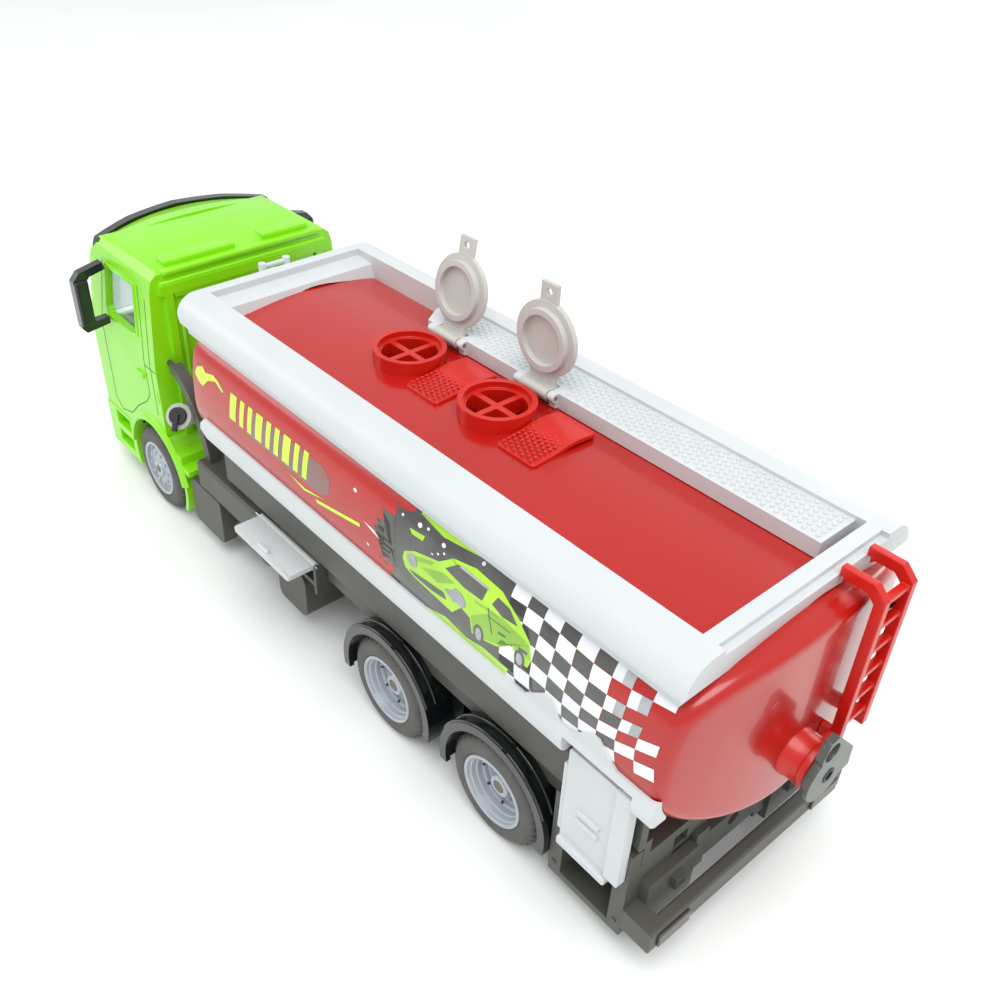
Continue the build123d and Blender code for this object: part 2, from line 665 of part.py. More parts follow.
def cab_back_ribs():
    """The frame and upright ribs on the cab's back wall."""
    ribs = block(cab_rear_x - 0.9, cab_rear_x, -20.8, 20.8, 56.2, 58.4)
    for y in (-19.8, 18.0):
        ribs += block(cab_rear_x - 0.9, cab_rear_x, y, y + 1.8, 20.0, 56.4)
    for y in (-13.8, -5.8, 4.0, 12.0):
        ribs += round_block(cab_rear_x - 0.7, cab_rear_x, y, y + 1.8, 24.0, 54.0, 0.6, Axis.X)
    return ribs


def cab_shell():
    """The hollow cab with window openings, open below, door seams left to the surface."""
    shell = cab_envelope(0)
    shell -= cab_envelope(cab_wall)
    shell -= block(cab_rear_x + cab_wall, cab_front_x - cab_wall, -23.0, 23.0, 10, 25)
    shell -= slab_xz(side_window, -30, 30)
    screen = slab_yz([(-20.6, 38.6), (20.6, 38.6), (19.4, 55.6), (-19.4, 55.6)], 88, 99)
    shell -= screen
    shell += cab_brow()
    shell += cab_back_ribs()
    # wheel arches
    for side in (1, -1):
        shell -= rod_y(front_axle_x, tyre_r, side * 15.5, side * 30, 12.4)
    shell -= block(cab_front_x - 0.2, cab_front_x + 1, -14.0, 14.0, 18.2, 34.4)
    return shell


def cab_skirt():
    """The lower cab: bumper, step recesses and wheel-arch fenders."""
    skirt = block(cab_rear_x, cab_front_x + 0.4, -cab_half_width - 0.2, cab_half_width + 0.2, 5.4, cab_floor_z)
    skirt -= block(cab_rear_x - 1, cab_front_x - 3.0, -21.5, 21.5, 0, 30)
    for side in (1, -1):
        skirt -= rod_y(front_axle_x, tyre_r, side * 15.0, side * 30, 12.4)
    skirt -= block(cab_rear_x - 1, front_axle_x, -30, 30, 0, 30)
    for z0, z1 in ((7.4, 10.6), (12.4, 16.2)):
        skirt -= block(82.6, 90.2, 22.6, 30, z0, z1)
        skirt -= block(82.6, 90.2, -30, -22.6, z0, z1)
    skirt = skirt + block(cab_front_x - 3.1, cab_front_x, -12, 12, 14.0, cab_floor_z)
    skirt -= block(cab_front_x - 1.0, cab_front_x + 2, -12.5, 12.5, 13.0, 30)
    return skirt


def cab_fender(side):
    """The stepped mudguard behind the front wheel, with a thin drop tip."""
    arch = rod_y(front_axle_x, tyre_r, 14.0, 24.6, 13.6) - rod_y(front_axle_x, tyre_r, 13, 26, 12.4)
    arch &= block(50, cab_rear_x, 10, 30, 4.6, 24.5)
    steps = slab_xz([(52.4, 16.0), (52.4, 17.4), (55.4, 17.8), (55.4, 19.8), (58.4, 20.2), (cab_rear_x, 21.8),
                     (cab_rear_x, 16.0)], 13.0, 24.5)
    steps -= rod_y(front_axle_x, tyre_r, 10, 26, 12.4)
    guard = (arch + steps) - cab_back_ribs()
    return guard if side > 0 else mirrored(guard)


def cab_interior():
    """The dark tub: floor, dashboard and steering wheel rim."""
    tub = block(cab_rear_x + 2.0, 92.0, -21.0, 21.0, 25.4, 27.0)
    for side in (1, -1):
        tub += block(74.0, 90.0, side * rail_y_inner, side * rail_y_outer, chassis_rail_top_z, 25.6)
    dash = slab_xz([(92.0, 26.6), (92.0, 36.6), (88.4, 38.2), (86.0, 36.8), (87.0, 26.6)], -20.8, 20.8)
    column = block(84.2, 88.0, 9.4, 10.6, 35.4, 37.2)
    wheel = Pos(84.6, 10.0, 37.0) * Rot(0, -35, 0) * Torus(3.2, 0.45)
    spokes = Pos(84.6, 10.0, 37.0) * Rot(0, -35, 0) * Box(0.9, 6.2, 0.6)
    return tub + dash + column + wheel + spokes


def seats():
    """Two seats with headrests."""
    group = []
    for y in (10.0, -10.0):
        seat = soft_block(66.4, 75.0, y - 4.6, y + 4.6, 27.0, 32.6, 1.0)
        back = soft_block(64.2, 67.4, y - 4.4, y + 4.4, 31.0, 45.0, 1.0)
        head = soft_block(64.4, 67.0, y - 2.6, y + 2.6, 44.6, 49.8, 0.9)
        group.append(seat + back + head)
    return Compound(group)


def glazing():
    """The clear liner: windscreen and side panes."""
    liner = cab_envelope(cab_wall + 0.05) - cab_envelope(cab_wall + 0.85)
    liner &= block(66.0, 96.0, -30, 30, 41.0, 56.95)
    return liner - block(66.0, 85.8, -20.0, 20.0, 30, 60)


def grille():
    """The black grille panel with horizontal bars, set in the cab's nose."""
    panel = block(cab_front_x - 0.2, cab_front_x + 0.1, -14.0, 14.0, 18.2, 34.4)
    for i in range(5):
        z = 19.4 + i * 3.0
        panel += block(cab_front_x, cab_front_x + 0.4, -13.4, 13.4, z, z + 1.5)
    return panel


def headlights():
    """Clear lamps in the bumper's corners."""
    lamp = block(cab_front_x + 0.4, cab_front_x + 0.8, 15.0, 22.6, 9.4, 13.6)
    lamp = fillet(lamp.edges().filter_by(Axis.X), 1.0)
    return Compound([lamp, mirrored(lamp)])


def sun_visor():
    """The bowed visor strip across the top of the windscreen."""
    outer = ThreePointArc((89.6, -22.6), (95.0, 0), (89.6, 22.6))
    inner = ThreePointArc((87.6, 22.0), (92.6, 0), (87.6, -22.0))
    face = make_face(outer + Line((89.6, 22.6), (87.6, 22.0)) + inner + Line((87.6, -22.0), (89.6, -22.6)))
    bow = Pos(0, 0, 54) * extrude(face, amount=12)
    crown = [(-23, 58.4), (-21.8, 60.6), (-12, 61.9), (0, 62.5), (12, 61.9), (21.8, 60.6), (23, 58.4)]
    top = slab_yz([(-23, 50)] + crown + [(23, 50)], 80, 99)
    low = slab_yz([(-24, 40)] + [(y * 1.05, z - 2.2) for y, z in crown] + [(24, 40)], 80, 99)
    return (bow & top) - low - cab_envelope(0) - cab_brow()


def door_mirror(side):
    """A loop-shaped mirror bracket with a thick outer housing."""
    outline = [(24.0, 57.6), (29.6, 56.4), (31.2, 54.6), (31.2, 43.4), (30.2, 42.2), (24.6, 43.0), (24.6, 44.6),
               (28.2, 44.4), (28.2, 54.2), (27.4, 55.0), (23.6, 55.9)]
    loop = slab_yz(outline, 82.2, 84.4)
    housing = soft_block(81.6, 85.0, 28.0, 31.2, 44.0, 54.6, 0.5)
    loop += housing
    loop -= cab_envelope(0)
    return loop if side > 0 else mirrored(loop)


# ---------------------------------------------------------------- wheels
def tyre(x, side, width):
    """A tyre with a rounded tread corner; its bore takes the rim."""
    outer = wheel_outer_y
    body = rod_y(x, tyre_r, outer - width, outer, tyre_r)
    body = fillet(body.edges(), 0.9)
    body -= rod_y(x, tyre_r, outer - width - 1, outer + 1, rim_r)
    if width > 8:
        middle = outer - width / 2
        groove = rod_y(x, tyre_r, middle - 0.7, middle + 0.7, tyre_r + 1) - rod_y(x, tyre_r, middle - 1, middle + 1,
                                                                                 tyre_r - 1.2)
        body -= groove
    return body if side > 0 else mirrored(body)


def rim(x, side, width, dish):
    """A rim with a dished face, hand holes and a hub; its bore takes the axle."""
    outer = wheel_outer_y - 0.15
    body = rod_y(x, tyre_r, outer - width + 0.6, outer, rim_r)
    body -= rod_y(x, tyre_r, outer - dish, outer + 1, rim_r - 0.9)
    body -= rod_y(x, tyre_r, 0, outer - dish - 1.4, rim_r - 0.9)
    hub = rod_y(x, tyre_r, outer - width + 0.6, outer - dish + (2.4 if dish > 3 else 0.9), 2.3)
    body += hub
    for i in range(8):
        angle = i * 45.0
        hole = Pos(x, 0, tyre_r) * Rot(0, angle, 0) * Pos(-x, 0, -tyre_r) * rod_y(x, tyre_r + 4.1, 0, 30, 0.6)
        body -= hole & rod_y(x, tyre_r, outer - dish - 2.0, outer - dish + 1, rim_r)
    body -= rod_y(x, tyre_r, 0, outer - dish + (1.4 if dish > 3 else 0.4), axle_r)
    return body if side > 0 else mirrored(body)


def axle(x, width, dish):
    """A plain steel axle, pressed into both rims."""
    end = wheel_outer_y - 0.15 - dish + (1.4 if dish > 3 else 0.4)
    return rod_y(x, tyre_r, -end, end, axle_r)


def chassis_screws():
    """The pan-head screws under the chassis that hold the tank's subframe."""
    heads = []
    for x in (40.0, 8.0, -36.4, -66.0):
        screw = rod_z(x, 0, 8.6, 9.5, 1.6) 
        screw -= block(x - 1.3, x + 1.3, -0.25, 0.25, 8.0, 9.0)
        heads.append(screw)
    return Compound(heads)


# ---------------------------------------------------------------- write every node
save("tank_shell", tank_shell())
save("tank_front_cap", tank_front_cap())
save("filler_necks", Compound([filler_neck(x) for x in filler_xs]))
save("tread_plates", Compound([tread_plate(-13.2, -4.7), tread_plate(-37.0, -28.3)]))
save("top_frame", top_frame())
save("walkway", walkway())
save("lid_front", lid(filler_xs[0], lid_open_angles[0]))
save("lid_rear", lid(filler_xs[1], lid_open_angles[1]))
save("lid_pins", lid_pins())
save("lower_rail_left", lower_rail(1))
save("lower_rail_right", lower_rail(-1))

save("chassis_frame", chassis_shape)
save("subframe", subframe_shape)
save("side_box_left", side_box())
save("side_box_right", mirrored(side_box()))
save("flap_left", flap(True))
save("flap_right", flap(False))
save("flap_pins", flap_pins())
save("battery_boxes", Compound([battery_box(), mirrored(battery_box())]))
save("fuel_tanks", Compound([fuel_tank(), mirrored(fuel_tank())]))
save("air_tanks", air_tanks())
save("mudguard_left", mudguard())
save("mudguard_right", mirrored(mudguard()))
save("cabinet_left", cabinet())
save("cabinet_right", mirrored(cabinet()))
save("shutter_left", shutter(shutter_travel))
save("shutter_right", mirrored(shutter(0.0)))
save("shutter_guides", Compound([shutter_guide(), mirrored(shutter_guide())]))
save("rear_bumper", rear_bumper())
save("tail_lights", tail_lights())
save("ladder", ladder())
save("outlet_spigot", outlet_spigot())
save("valve_plate", valve_plate())
save("valve_pin", valve_pin())
save("intake_arch", intake_arch())
save("knob_collar", knob_collar())
save("knob_crank", knob_crank())

save("cab_shell", cab_shell())
save("cab_skirt", cab_skirt())
save("cab_fender_left", cab_fender(1))
save("cab_fender_right", cab_fender(-1))
save("cab_interior", cab_interior())
save("seats", seats())
save("glazing", glazing())
save("grille", grille())
save("headlights", headlights())
save("sun_visor", sun_visor())
save("mirror_left", door_mirror(1))
save("mirror_right", door_mirror(-1))
save("chassis_screws", chassis_screws())

wheel_sets = (("front", front_axle_x, front_tyre_width, 1.4), ("middle", rear_axle_xs[0], rear_tyre_width, 5.6),
              ("rear", rear_axle_xs[1], rear_tyre_width, 5.6))
for name, x, width, dish in wheel_sets:
    save("tyres_" + name, Compound([tyre(x, 1, width), tyre(x, -1, width)]))
    save("rims_" + name, Compound([rim(x, 1, width, dish), rim(x, -1, width, dish)]))
    save("axle_" + name, axle(x, width, dish))
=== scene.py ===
"""Toy tanker truck: the looks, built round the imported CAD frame. Lengths are in millimetres."""
import json
import math
import random

import bmesh
import bpy
import numpy as np
from mathutils import Matrix, Vector


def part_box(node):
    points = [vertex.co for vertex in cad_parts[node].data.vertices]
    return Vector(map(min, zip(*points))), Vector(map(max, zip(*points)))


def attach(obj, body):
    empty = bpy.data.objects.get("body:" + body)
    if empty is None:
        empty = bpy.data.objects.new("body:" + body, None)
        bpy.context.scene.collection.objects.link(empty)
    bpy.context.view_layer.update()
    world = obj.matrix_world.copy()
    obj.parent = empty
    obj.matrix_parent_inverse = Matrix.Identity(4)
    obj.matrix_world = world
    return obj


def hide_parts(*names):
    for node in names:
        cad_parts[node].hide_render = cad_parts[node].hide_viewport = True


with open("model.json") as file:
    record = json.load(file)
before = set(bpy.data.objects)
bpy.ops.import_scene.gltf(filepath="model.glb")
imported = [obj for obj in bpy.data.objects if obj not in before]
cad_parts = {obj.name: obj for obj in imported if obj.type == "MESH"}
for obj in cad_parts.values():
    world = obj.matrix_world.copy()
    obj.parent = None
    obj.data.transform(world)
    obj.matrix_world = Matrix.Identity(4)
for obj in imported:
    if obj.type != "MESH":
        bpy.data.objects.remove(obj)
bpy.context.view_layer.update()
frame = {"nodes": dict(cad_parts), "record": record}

MM = 0.001
NODES = frame["nodes"]
BODY = {node: body for body, nodes in frame["record"]["behaviour"]["bodies"].items() for node in nodes}
SLOT = {part["node"]: part["material_slot"] for part in frame["record"]["subparts"]}
rng = random.Random(7)


# ---------------------------------------------------------------- helpers
def box(node):
    """A CAD node's lowest and highest corners, in millimetres."""
    lo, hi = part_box(node)
    return Vector(lo) / MM, Vector(hi) / MM


def srgb(code):
    """A colour from its hex code, as linear red, green, blue, alpha."""
    parts = [int(code[i:i + 2], 16) / 255 for i in (0, 2, 4)]
    linear = [p / 12.92 if p <= 0.04045 else ((p + 0.055) / 1.055) ** 2.4 for p in parts]
    return (*linear, 1.0)


def smooth(mesh, angle=35):
    """Smooth shading, with edges sharper than the angle kept crisp."""
    for face in mesh.polygons:
        face.use_smooth = True
    mesh.set_sharp_from_angle(angle=math.radians(angle))


def add_mesh(name, verts, faces, material, body, slot=None, angle=35, flat=False):
    """A new piece from vertices in millimetres; it rides on a body. The slot argument is not used."""
    mesh = bpy.data.meshes.new(name)
    mesh.from_pydata([Vector(v) * MM for v in verts], [], faces)
    mesh.validate()
    piece = bpy.data.objects.new(name, mesh)
    bpy.context.scene.collection.objects.link(piece)
    mesh.materials.append(material)
    bm = bmesh.new()
    bm.from_mesh(mesh)
    bmesh.ops.recalc_face_normals(bm, faces=bm.faces)
    bm.to_mesh(mesh)
    bm.free()
    if not flat:
        smooth(mesh, angle)
    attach(piece, body)
    return piece


def apply_modifiers(piece):
    """Bakes a piece's modifiers into its mesh."""
    depsgraph = bpy.context.evaluated_depsgraph_get()
    result = bpy.data.meshes.new_from_object(piece.evaluated_get(depsgraph))
    old = piece.data
    piece.modifiers.clear()
    piece.data = result
    bpy.data.meshes.remove(old)


# ---------------------------------------------------------------- materials
def material(name, color, rough=0.4, tint=None, spread=0.25, scale=180.0, coat=0.0, coat_rough=0.05,
             metallic=0.0,
             bump=0.0, bump_scale=2500.0, rough_spread=0.06, ior=1.5, sheen=0.0, subsurface=0.0):
    """A moulded or painted surface: two close colours mixed by noise, uneven gloss, and a fine grain."""
    mat = bpy.data.materials.new(name)
    mat.use_nodes = True
    tree = mat.node_tree
    tree.nodes.clear()
    out = tree.nodes.new("ShaderNodeOutputMaterial")
    shader = tree.nodes.new("ShaderNodeBsdfPrincipled")
    tree.links.new(shader.outputs[0], out.inputs[0])
    coords = tree.nodes.new("ShaderNodeTexCoord")
    noise = tree.nodes.new("ShaderNodeTexNoise")
    noise.inputs["Scale"].default_value = scale
    noise.inputs["Detail"].default_value = 4.0
    tree.links.new(coords.outputs["Object"], noise.inputs["Vector"])
    mix = tree.nodes.new("ShaderNodeMix")
    mix.data_type = "RGBA"
    base = srgb(color)
    other = srgb(tint) if tint else tuple(c * (1 - spread * 0.5) for c in base[:3]) + (1.0,)
    mix.inputs[6].default_value = base
    mix.inputs[7].default_value = other
    ramp = tree.nodes.new("ShaderNodeMapRange")
    ramp.inputs["From Min"].default_value = 0.35
    ramp.inputs["From Max"].default_value = 0.75
    ramp.inputs["To Max"].default_value = 1.0 if tint else spread
    tree.links.new(noise.outputs[0], ramp.inputs["Value"])
    tree.links.new(ramp.outputs[0], mix.inputs[0])
    tree.links.new(mix.outputs[2], shader.inputs["Base Color"])
    gloss = tree.nodes.new("ShaderNodeMapRange")
    gloss.inputs["To Min"].default_value = max(0.02, rough - rough_spread)
    gloss.inputs["To Max"].default_value = min(1.0, rough + rough_spread)
    grain = tree.nodes.new("ShaderNodeTexNoise")
    grain.inputs["Scale"].default_value = scale * 3.1
    grain.inputs["Detail"].default_value = 3.0
    tree.links.new(coords.outputs["Object"], grain.inputs["Vector"])
    tree.links.new(grain.outputs[0], gloss.inputs["Value"])
    tree.links.new(gloss.outputs[0], shader.inputs["Roughness"])
    if bump:
        fine = tree.nodes.new("ShaderNodeTexNoise")
        fine.inputs["Scale"].default_value = bump_scale
        fine.inputs["Detail"].default_value = 2.0
        tree.links.new(coords.outputs["Object"], fine.inputs["Vector"])
        node = tree.nodes.new("ShaderNodeBump")
        node.inputs["Strength"].default_value = bump
        node.inputs["Distance"].default_value = 0.0001
        tree.links.new(fine.outputs[0], node.inputs["Height"])
        tree.links.new(node.outputs[0], shader.inputs["Normal"])
    shader.inputs["Metallic"].default_value = metallic
    shader.inputs["IOR"].default_value = ior
    shader.inputs["Coat Weight"].default_value = coat
    shader.inputs["Coat Roughness"].default_value = coat_rough
    shader.inputs["Sheen Weight"].default_value = sheen
    if subsurface:
        shader.inputs["Subsurface Weight"].default_value = subsurface
        shader.inputs["Subsurface Scale"].default_value = 0.002
    return mat


def clear_plastic(name, tint):
    """Thin clear plastic for windows and lamps."""
    mat = material(name, tint, rough=0.06, rough_spread=0.03, scale=90, spread=0.1)
    shader = next(n for n in mat.node_tree.nodes if n.type == "BSDF_PRINCIPLED")
    shader.inputs["Transmission Weight"].default_value = 0.85
    shader.inputs["IOR"].default_value = 1.3
    return mat


green = material("cab_green_plastic", "8de016", rough=0.30, tint="86da11", scale=60, coat=0.25,
                 coat_rough=0.12, bump=0.05)
tank_red = material("tank_red_gloss", "b5140b", rough=0.26, tint="aa1109", scale=25, coat=0.35,
                    coat_rough=0.03,
                    rough_spread=0.03, bump=0.012, bump_scale=400)
trim_red = material("trim_red_plastic", "cc1b0c", rough=0.34, tint="c01608", scale=90, coat=0.15,
                    coat_rough=0.15,
                    bump=0.04, subsurface=0.05)
pale = material("pale_plastic", "ced2d3", rough=0.40, tint="c8cdce", scale=50, bump=0.06)
pale_grey = material("lid_grey_plastic", "c4c3bd", rough=0.45, tint="bdbcb6", scale=70, bump=0.08)
chassis_grey = material("chassis_grey_plastic", "51514a", rough=0.46, tint="494943", scale=80, bump=0.12)
black_gloss = material("black_gloss_plastic", "14181a", rough=0.20, tint="101315", scale=120, coat=0.5,
                       coat_rough=0.08,
                       bump=0.03)
dark_trim = material("dark_trim_plastic", "2b2b2b", rough=0.45, scale=120, bump=0.10)
dark_grey = material("plate_grey_plastic", "555a54", rough=0.28, tint="4a4f49", scale=150, bump=0.06)
rubber = material("tyre_rubber", "4f4d4a", rough=0.62, tint="5c5a56", scale=250, bump=0.30, bump_scale=3500)
rim_paint = material("rim_silver", "adb3bb", rough=0.30, tint="a1a8b0", scale=200, coat=0.3,
                     metallic=0.15, bump=0.05)
steel = material("bright_steel", "a9a9a7", rough=0.28, metallic=1.0, scale=400, bump=0.05)
window = clear_plastic("window_plastic", "e6f0f0")
lamp_red = material("lamp_block_plastic", "4c4640", rough=0.35, coat=0.2, scale=200, bump=0.05)
seat_grey = material("seat_grey_plastic", "a9adae", rough=0.5, scale=90, bump=0.08)
seam_green = material("seam_green", "357a04", rough=0.5, scale=90)
hub_metal = material("hub_metal", "7d7565", rough=0.32, metallic=0.7, scale=300, bump=0.04)
ink_yellow = material("ink_yellow", "d9f52a", rough=0.25, tint="c8ea1c", scale=120, coat=0.4,
                      coat_rough=0.05)
ink_lime = material("ink_lime", "b2e31c", rough=0.25, tint="98d010", scale=140, coat=0.6, coat_rough=0.05)
ink_green = material("ink_green", "8fc41c", rough=0.25, tint="7cae18", scale=110, coat=0.6, coat_rough=0.05)
ink_dark = material("ink_dark", "3a3a38", rough=0.25, tint="5a5a55", scale=120, coat=0.6, coat_rough=0.05)
ink_white = material("ink_white", "f2f2f6", rough=0.25, tint="dcdde4", scale=120, coat=0.6, coat_rough=0.05)
ink_silver = material("ink_silver", "b5b8bd", rough=0.25, tint="8e9194", scale=200, coat=0.6,
                      coat_rough=0.05)

SLOT_MATERIAL = {"cab_green": green, "dark_trim": dark_trim, "clear": window, "lamp_red": lamp_red,
                 "tank_red": tank_red,
                 "trim_red": trim_red, "pale": pale, "pale_grey": pale_grey, "chassis": chassis_grey,
                 "black_gloss": black_gloss, "dark_grey": dark_grey, "tyre": rubber,
                 "rim": rim_paint, "steel": steel}


PIECE_MATERIAL = {"flap_left": pale, "flap_right": pale, "shutter_guides": pale, "seats": seat_grey}


def refine(node, bevel=0.15, segments=2, mat=None, angle=32):
    """A copy of a CAD node with merged faces, rounded edges and even shading, which stands for the node."""
    source = NODES[node]
    bm = bmesh.new()
    bm.from_mesh(source.data)
    bmesh.ops.remove_doubles(bm, verts=bm.verts, dist=2e-6)
    bmesh.ops.dissolve_limit(bm, angle_limit=math.radians(1.0), verts=bm.verts, edges=bm.edges)
    mesh = bpy.data.meshes.new(node + "_piece")
    bm.to_mesh(mesh)
    bm.free()
    piece = bpy.data.objects.new(node + "_piece", mesh)
    bpy.context.scene.collection.objects.link(piece)
    modifier = piece.modifiers.new("edges", "BEVEL")
    modifier.width = bevel * MM
    modifier.segments = segments
    modifier.limit_method = "ANGLE"
    modifier.angle_limit = math.radians(angle)
    modifier.miter_outer = "MITER_ARC"
    modifier.use_clamp_overlap = True
    apply_modifiers(piece)
    piece.data.materials.clear()
    piece.data.materials.append(mat or PIECE_MATERIAL.get(node) or SLOT_MATERIAL[SLOT[node]])
    smooth(piece.data, 40)
    shading = piece.modifiers.new("shading", "WEIGHTED_NORMAL")
    shading.keep_sharp = True
    apply_modifiers(piece)
    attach(piece, BODY[node])
    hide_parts(node)
    return piece


# ---------------------------------------------------------------- stage, light and camera
def area_light(name, location, target, size, power, color=(1, 1, 1)):
    data = bpy.data.lights.new(name, "AREA")
    data.shape = "DISK"
    data.size = size
    data.energy = power
    data.color = color
    lamp_object = bpy.data.objects.new(name, data)
    bpy.context.scene.collection.objects.link(lamp_object)
    lamp_object.location = location
    direction = Vector(target) - Vector(location)
    lamp_object.rotation_euler = direction.to_track_quat("-Z", "Y").to_euler()
    return lamp_object


def studio():
    """A pale floor, a white surround and three soft lights."""
    mesh = bpy.data.meshes.new("floor")
    half = 6.0
    mesh.from_pydata([(-half, -half, 0), (half, -half, 0), (half, half, 0), (-half, half, 0)], [], [(0, 1,
                                                                                                     2, 3)])
    floor = bpy.data.objects.new("floor", mesh)
    bpy.context.scene.collection.objects.link(floor)
    cloth = material("floor_cloth", "f3f5f2", rough=0.9, tint="eef1ee", scale=9, bump=0.15, bump_scale=900)
    mesh.materials.append(cloth)
    world = bpy.data.worlds.new("surround")
    world.use_nodes = True
    world.node_tree.nodes["Background"].inputs[0].default_value = (0.96, 0.98, 1.0, 1.0)
    world.node_tree.nodes["Background"].inputs[1].default_value = 0.80
    bpy.context.scene.world = world
    area_light("ceiling", (-0.30, 0.22, 0.85), (0, 0, 0), 0.7, 5.6)
    area_light("right_fill", (0.05, -0.85, 0.35), (0, 0, 0.03), 0.4, 1.6)
    area_light("front_fill", (0.75, 0.45, 0.45), (0, 0, 0.03), 0.4, 1.2)


def camera():
    """The photograph's standpoint: behind the truck's left rear corner, looking down on it."""
    data = bpy.data.cameras.new("camera")
    data.lens = 36.68
    data.sensor_width = 36.0
    data.shift_x = 0.0638
    data.shift_y = -0.021
    data.clip_start = 0.005
    data.clip_end = 50.0
    view = bpy.data.objects.new("camera", data)
    bpy.context.scene.collection.objects.link(view)
    forward = Vector((0.6301106, -0.51609541, -0.58017769)).normalized()
    right = Vector((-0.62953171, -0.77693944, 0.00741199))
    right = (right - forward * right.dot(forward)).normalized()
    up = right.cross(forward)
    turn = Matrix((right, up, -forward)).transposed().to_4x4()
    view.matrix_world = Matrix.Translation(Vector((-128.870, 99.832, 149.475)) * MM) @ turn
    bpy.context.scene.camera = view


# ---------------------------------------------------------------- tank
TANK_LO = box("tank_shell")[0]
TANK_HI = box("tank_front_cap")[1]
TANK_MID_Z = 43.0
TANK_HALF = [(0, 59.8), (12, 58.95), (20, 57.2), (23.9, 54.4), (25.3, 50.2), (25.8, 44.3), (25.2, 38.8),
             (22.5, 34.9),
             (16.3, 30.6), (8, 27.5), (0, 26.4)]


def closed_spline(points, count):
    """Points spaced along a smooth closed curve through the given points."""
    pts = np.array(points, float)
    n = len(pts)
    gap = np.linalg.norm(np.roll(pts, -1, axis=0) - pts, axis=1)
    grid = np.zeros((n, n))
    right = np.zeros((n, 2))
    for i in range(n):
        before = gap[i - 1]
        after = gap[i]
        grid[i, i - 1] = before
        grid[i, i] = 2 * (before + after)
        grid[i, (i + 1) % n] = after
        right[i] = 6 * ((pts[(i + 1) % n] - pts[i]) / after - (pts[i] - pts[i - 1]) / before)
    bend = np.linalg.solve(grid, right)
    ends = np.concatenate(([0.0], np.cumsum(gap)))
    result = []
    for s in np.linspace(0, ends[-1], count, endpoint=False):
        i = min(int(np.searchsorted(ends, s, side="right")) - 1, n - 1)
        j = (i + 1) % n
        h = gap[i]
        a = (ends[i + 1] - s) / h
        b = (s - ends[i]) / h
        result.append(a * pts[i] + b * pts[j] + ((a ** 3 - a) * bend[i] + (b ** 3 - b) * bend[j]) * h * h / 6)
    return np.array(result)


SECTION = closed_spline(TANK_HALF + [(-y, z) for y, z in reversed(TANK_HALF[1:-1])], 240)
_step = np.roll(SECTION, -1, axis=0) - np.roll(SECTION, 1, axis=0)
SECTION_NORMAL = np.stack([-_step[:, 1], _step[:, 0]], axis=1)
SECTION_NORMAL /= np.linalg.norm(SECTION_NORMAL, axis=1)[:, None]
if (SECTION_NORMAL[0] @ (0, 1)) < 0:
    SECTION_NORMAL = -SECTION_NORMAL


def end_x(y, rear):
    """Where the bulged end stands at a distance y from the middle."""
    depth = 4.0 if rear else 3.0
    radius = (25.8 ** 2 + depth ** 2) / (2 * depth)
    drop = radius - math.sqrt(radius ** 2 - y ** 2)
    return TANK_LO.x + drop if rear else TANK_HI.x - drop


def tank():
    """The whole tank as one smooth skin: round-edged bulged ends, and wells under the filler rings."""
    verts = []
    rings = []

    def ring(inset, along, rear, shrink=1.0):
        start = len(verts)
        for (y, z), (ny, nz) in zip(SECTION, SECTION_NORMAL):
            yy = (y - ny * inset) * shrink
            zz = TANK_MID_Z + (z - nz * inset - TANK_MID_Z) * shrink
            verts.append((end_x(yy, rear) + (along if rear else -along), yy, zz))
        rings.append(range(start, len(verts)))

    edge = 1.7
    for shrink in (0.12, 0.3, 0.5, 0.7, 0.85, 0.95):
        ring(edge, 0.0, True, shrink)
    for i in range(7):
        turn = i / 6 * math.pi / 2
        ring(edge * (1 - math.sin(turn)), edge * (1 - math.cos(turn)), True)
    for i in range(1, 24):
        start = len(verts)
        for (y, z) in SECTION:
            low = end_x(y, True) + edge
            high = end_x(y, False) - 1.0
            verts.append((low + (high - low) * i / 24, y, z))
        rings.append(range(start, len(verts)))
    for i in range(6, -1, -1):
        turn = i / 6 * math.pi / 2
        ring(1.0 * (1 - math.sin(turn)), 1.0 * (1 - math.cos(turn)), False)
    for shrink in (0.95, 0.7, 0.4, 0.12):
        ring(1.0, 0.0, False, shrink)
    faces = []
    count = len(SECTION)
    for a, b in zip(rings, rings[1:]):
        for k in range(count):
            faces.append((a[k], a[(k + 1) % count], b[(k + 1) % count], b[k]))
    faces.append(tuple(rings[0]))
    faces.append(tuple(rings[-1]))
    piece = add_mesh("tank_body", verts, faces, tank_red, "truck", "tank_red", angle=50)
    for k, x in enumerate(FILLER_X):
        cutter = add_mesh(f"filler_cut_{k}", *lathe([(0.01, 50.0), (5.75, 50.0), (5.75, 66.0), (0.01,
                                                                                                66.0)], 64,
                                                    (x, 0, 0)), tank_red, "truck")
        cut = piece.modifiers.new("well", "BOOLEAN")
        cut.object = cutter
        cut.solver = "EXACT"
        apply_modifiers(piece)
        bpy.data.objects.remove(cutter)
    smooth(piece.data, 40)
    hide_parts("tank_shell", "tank_front_cap")
    return piece


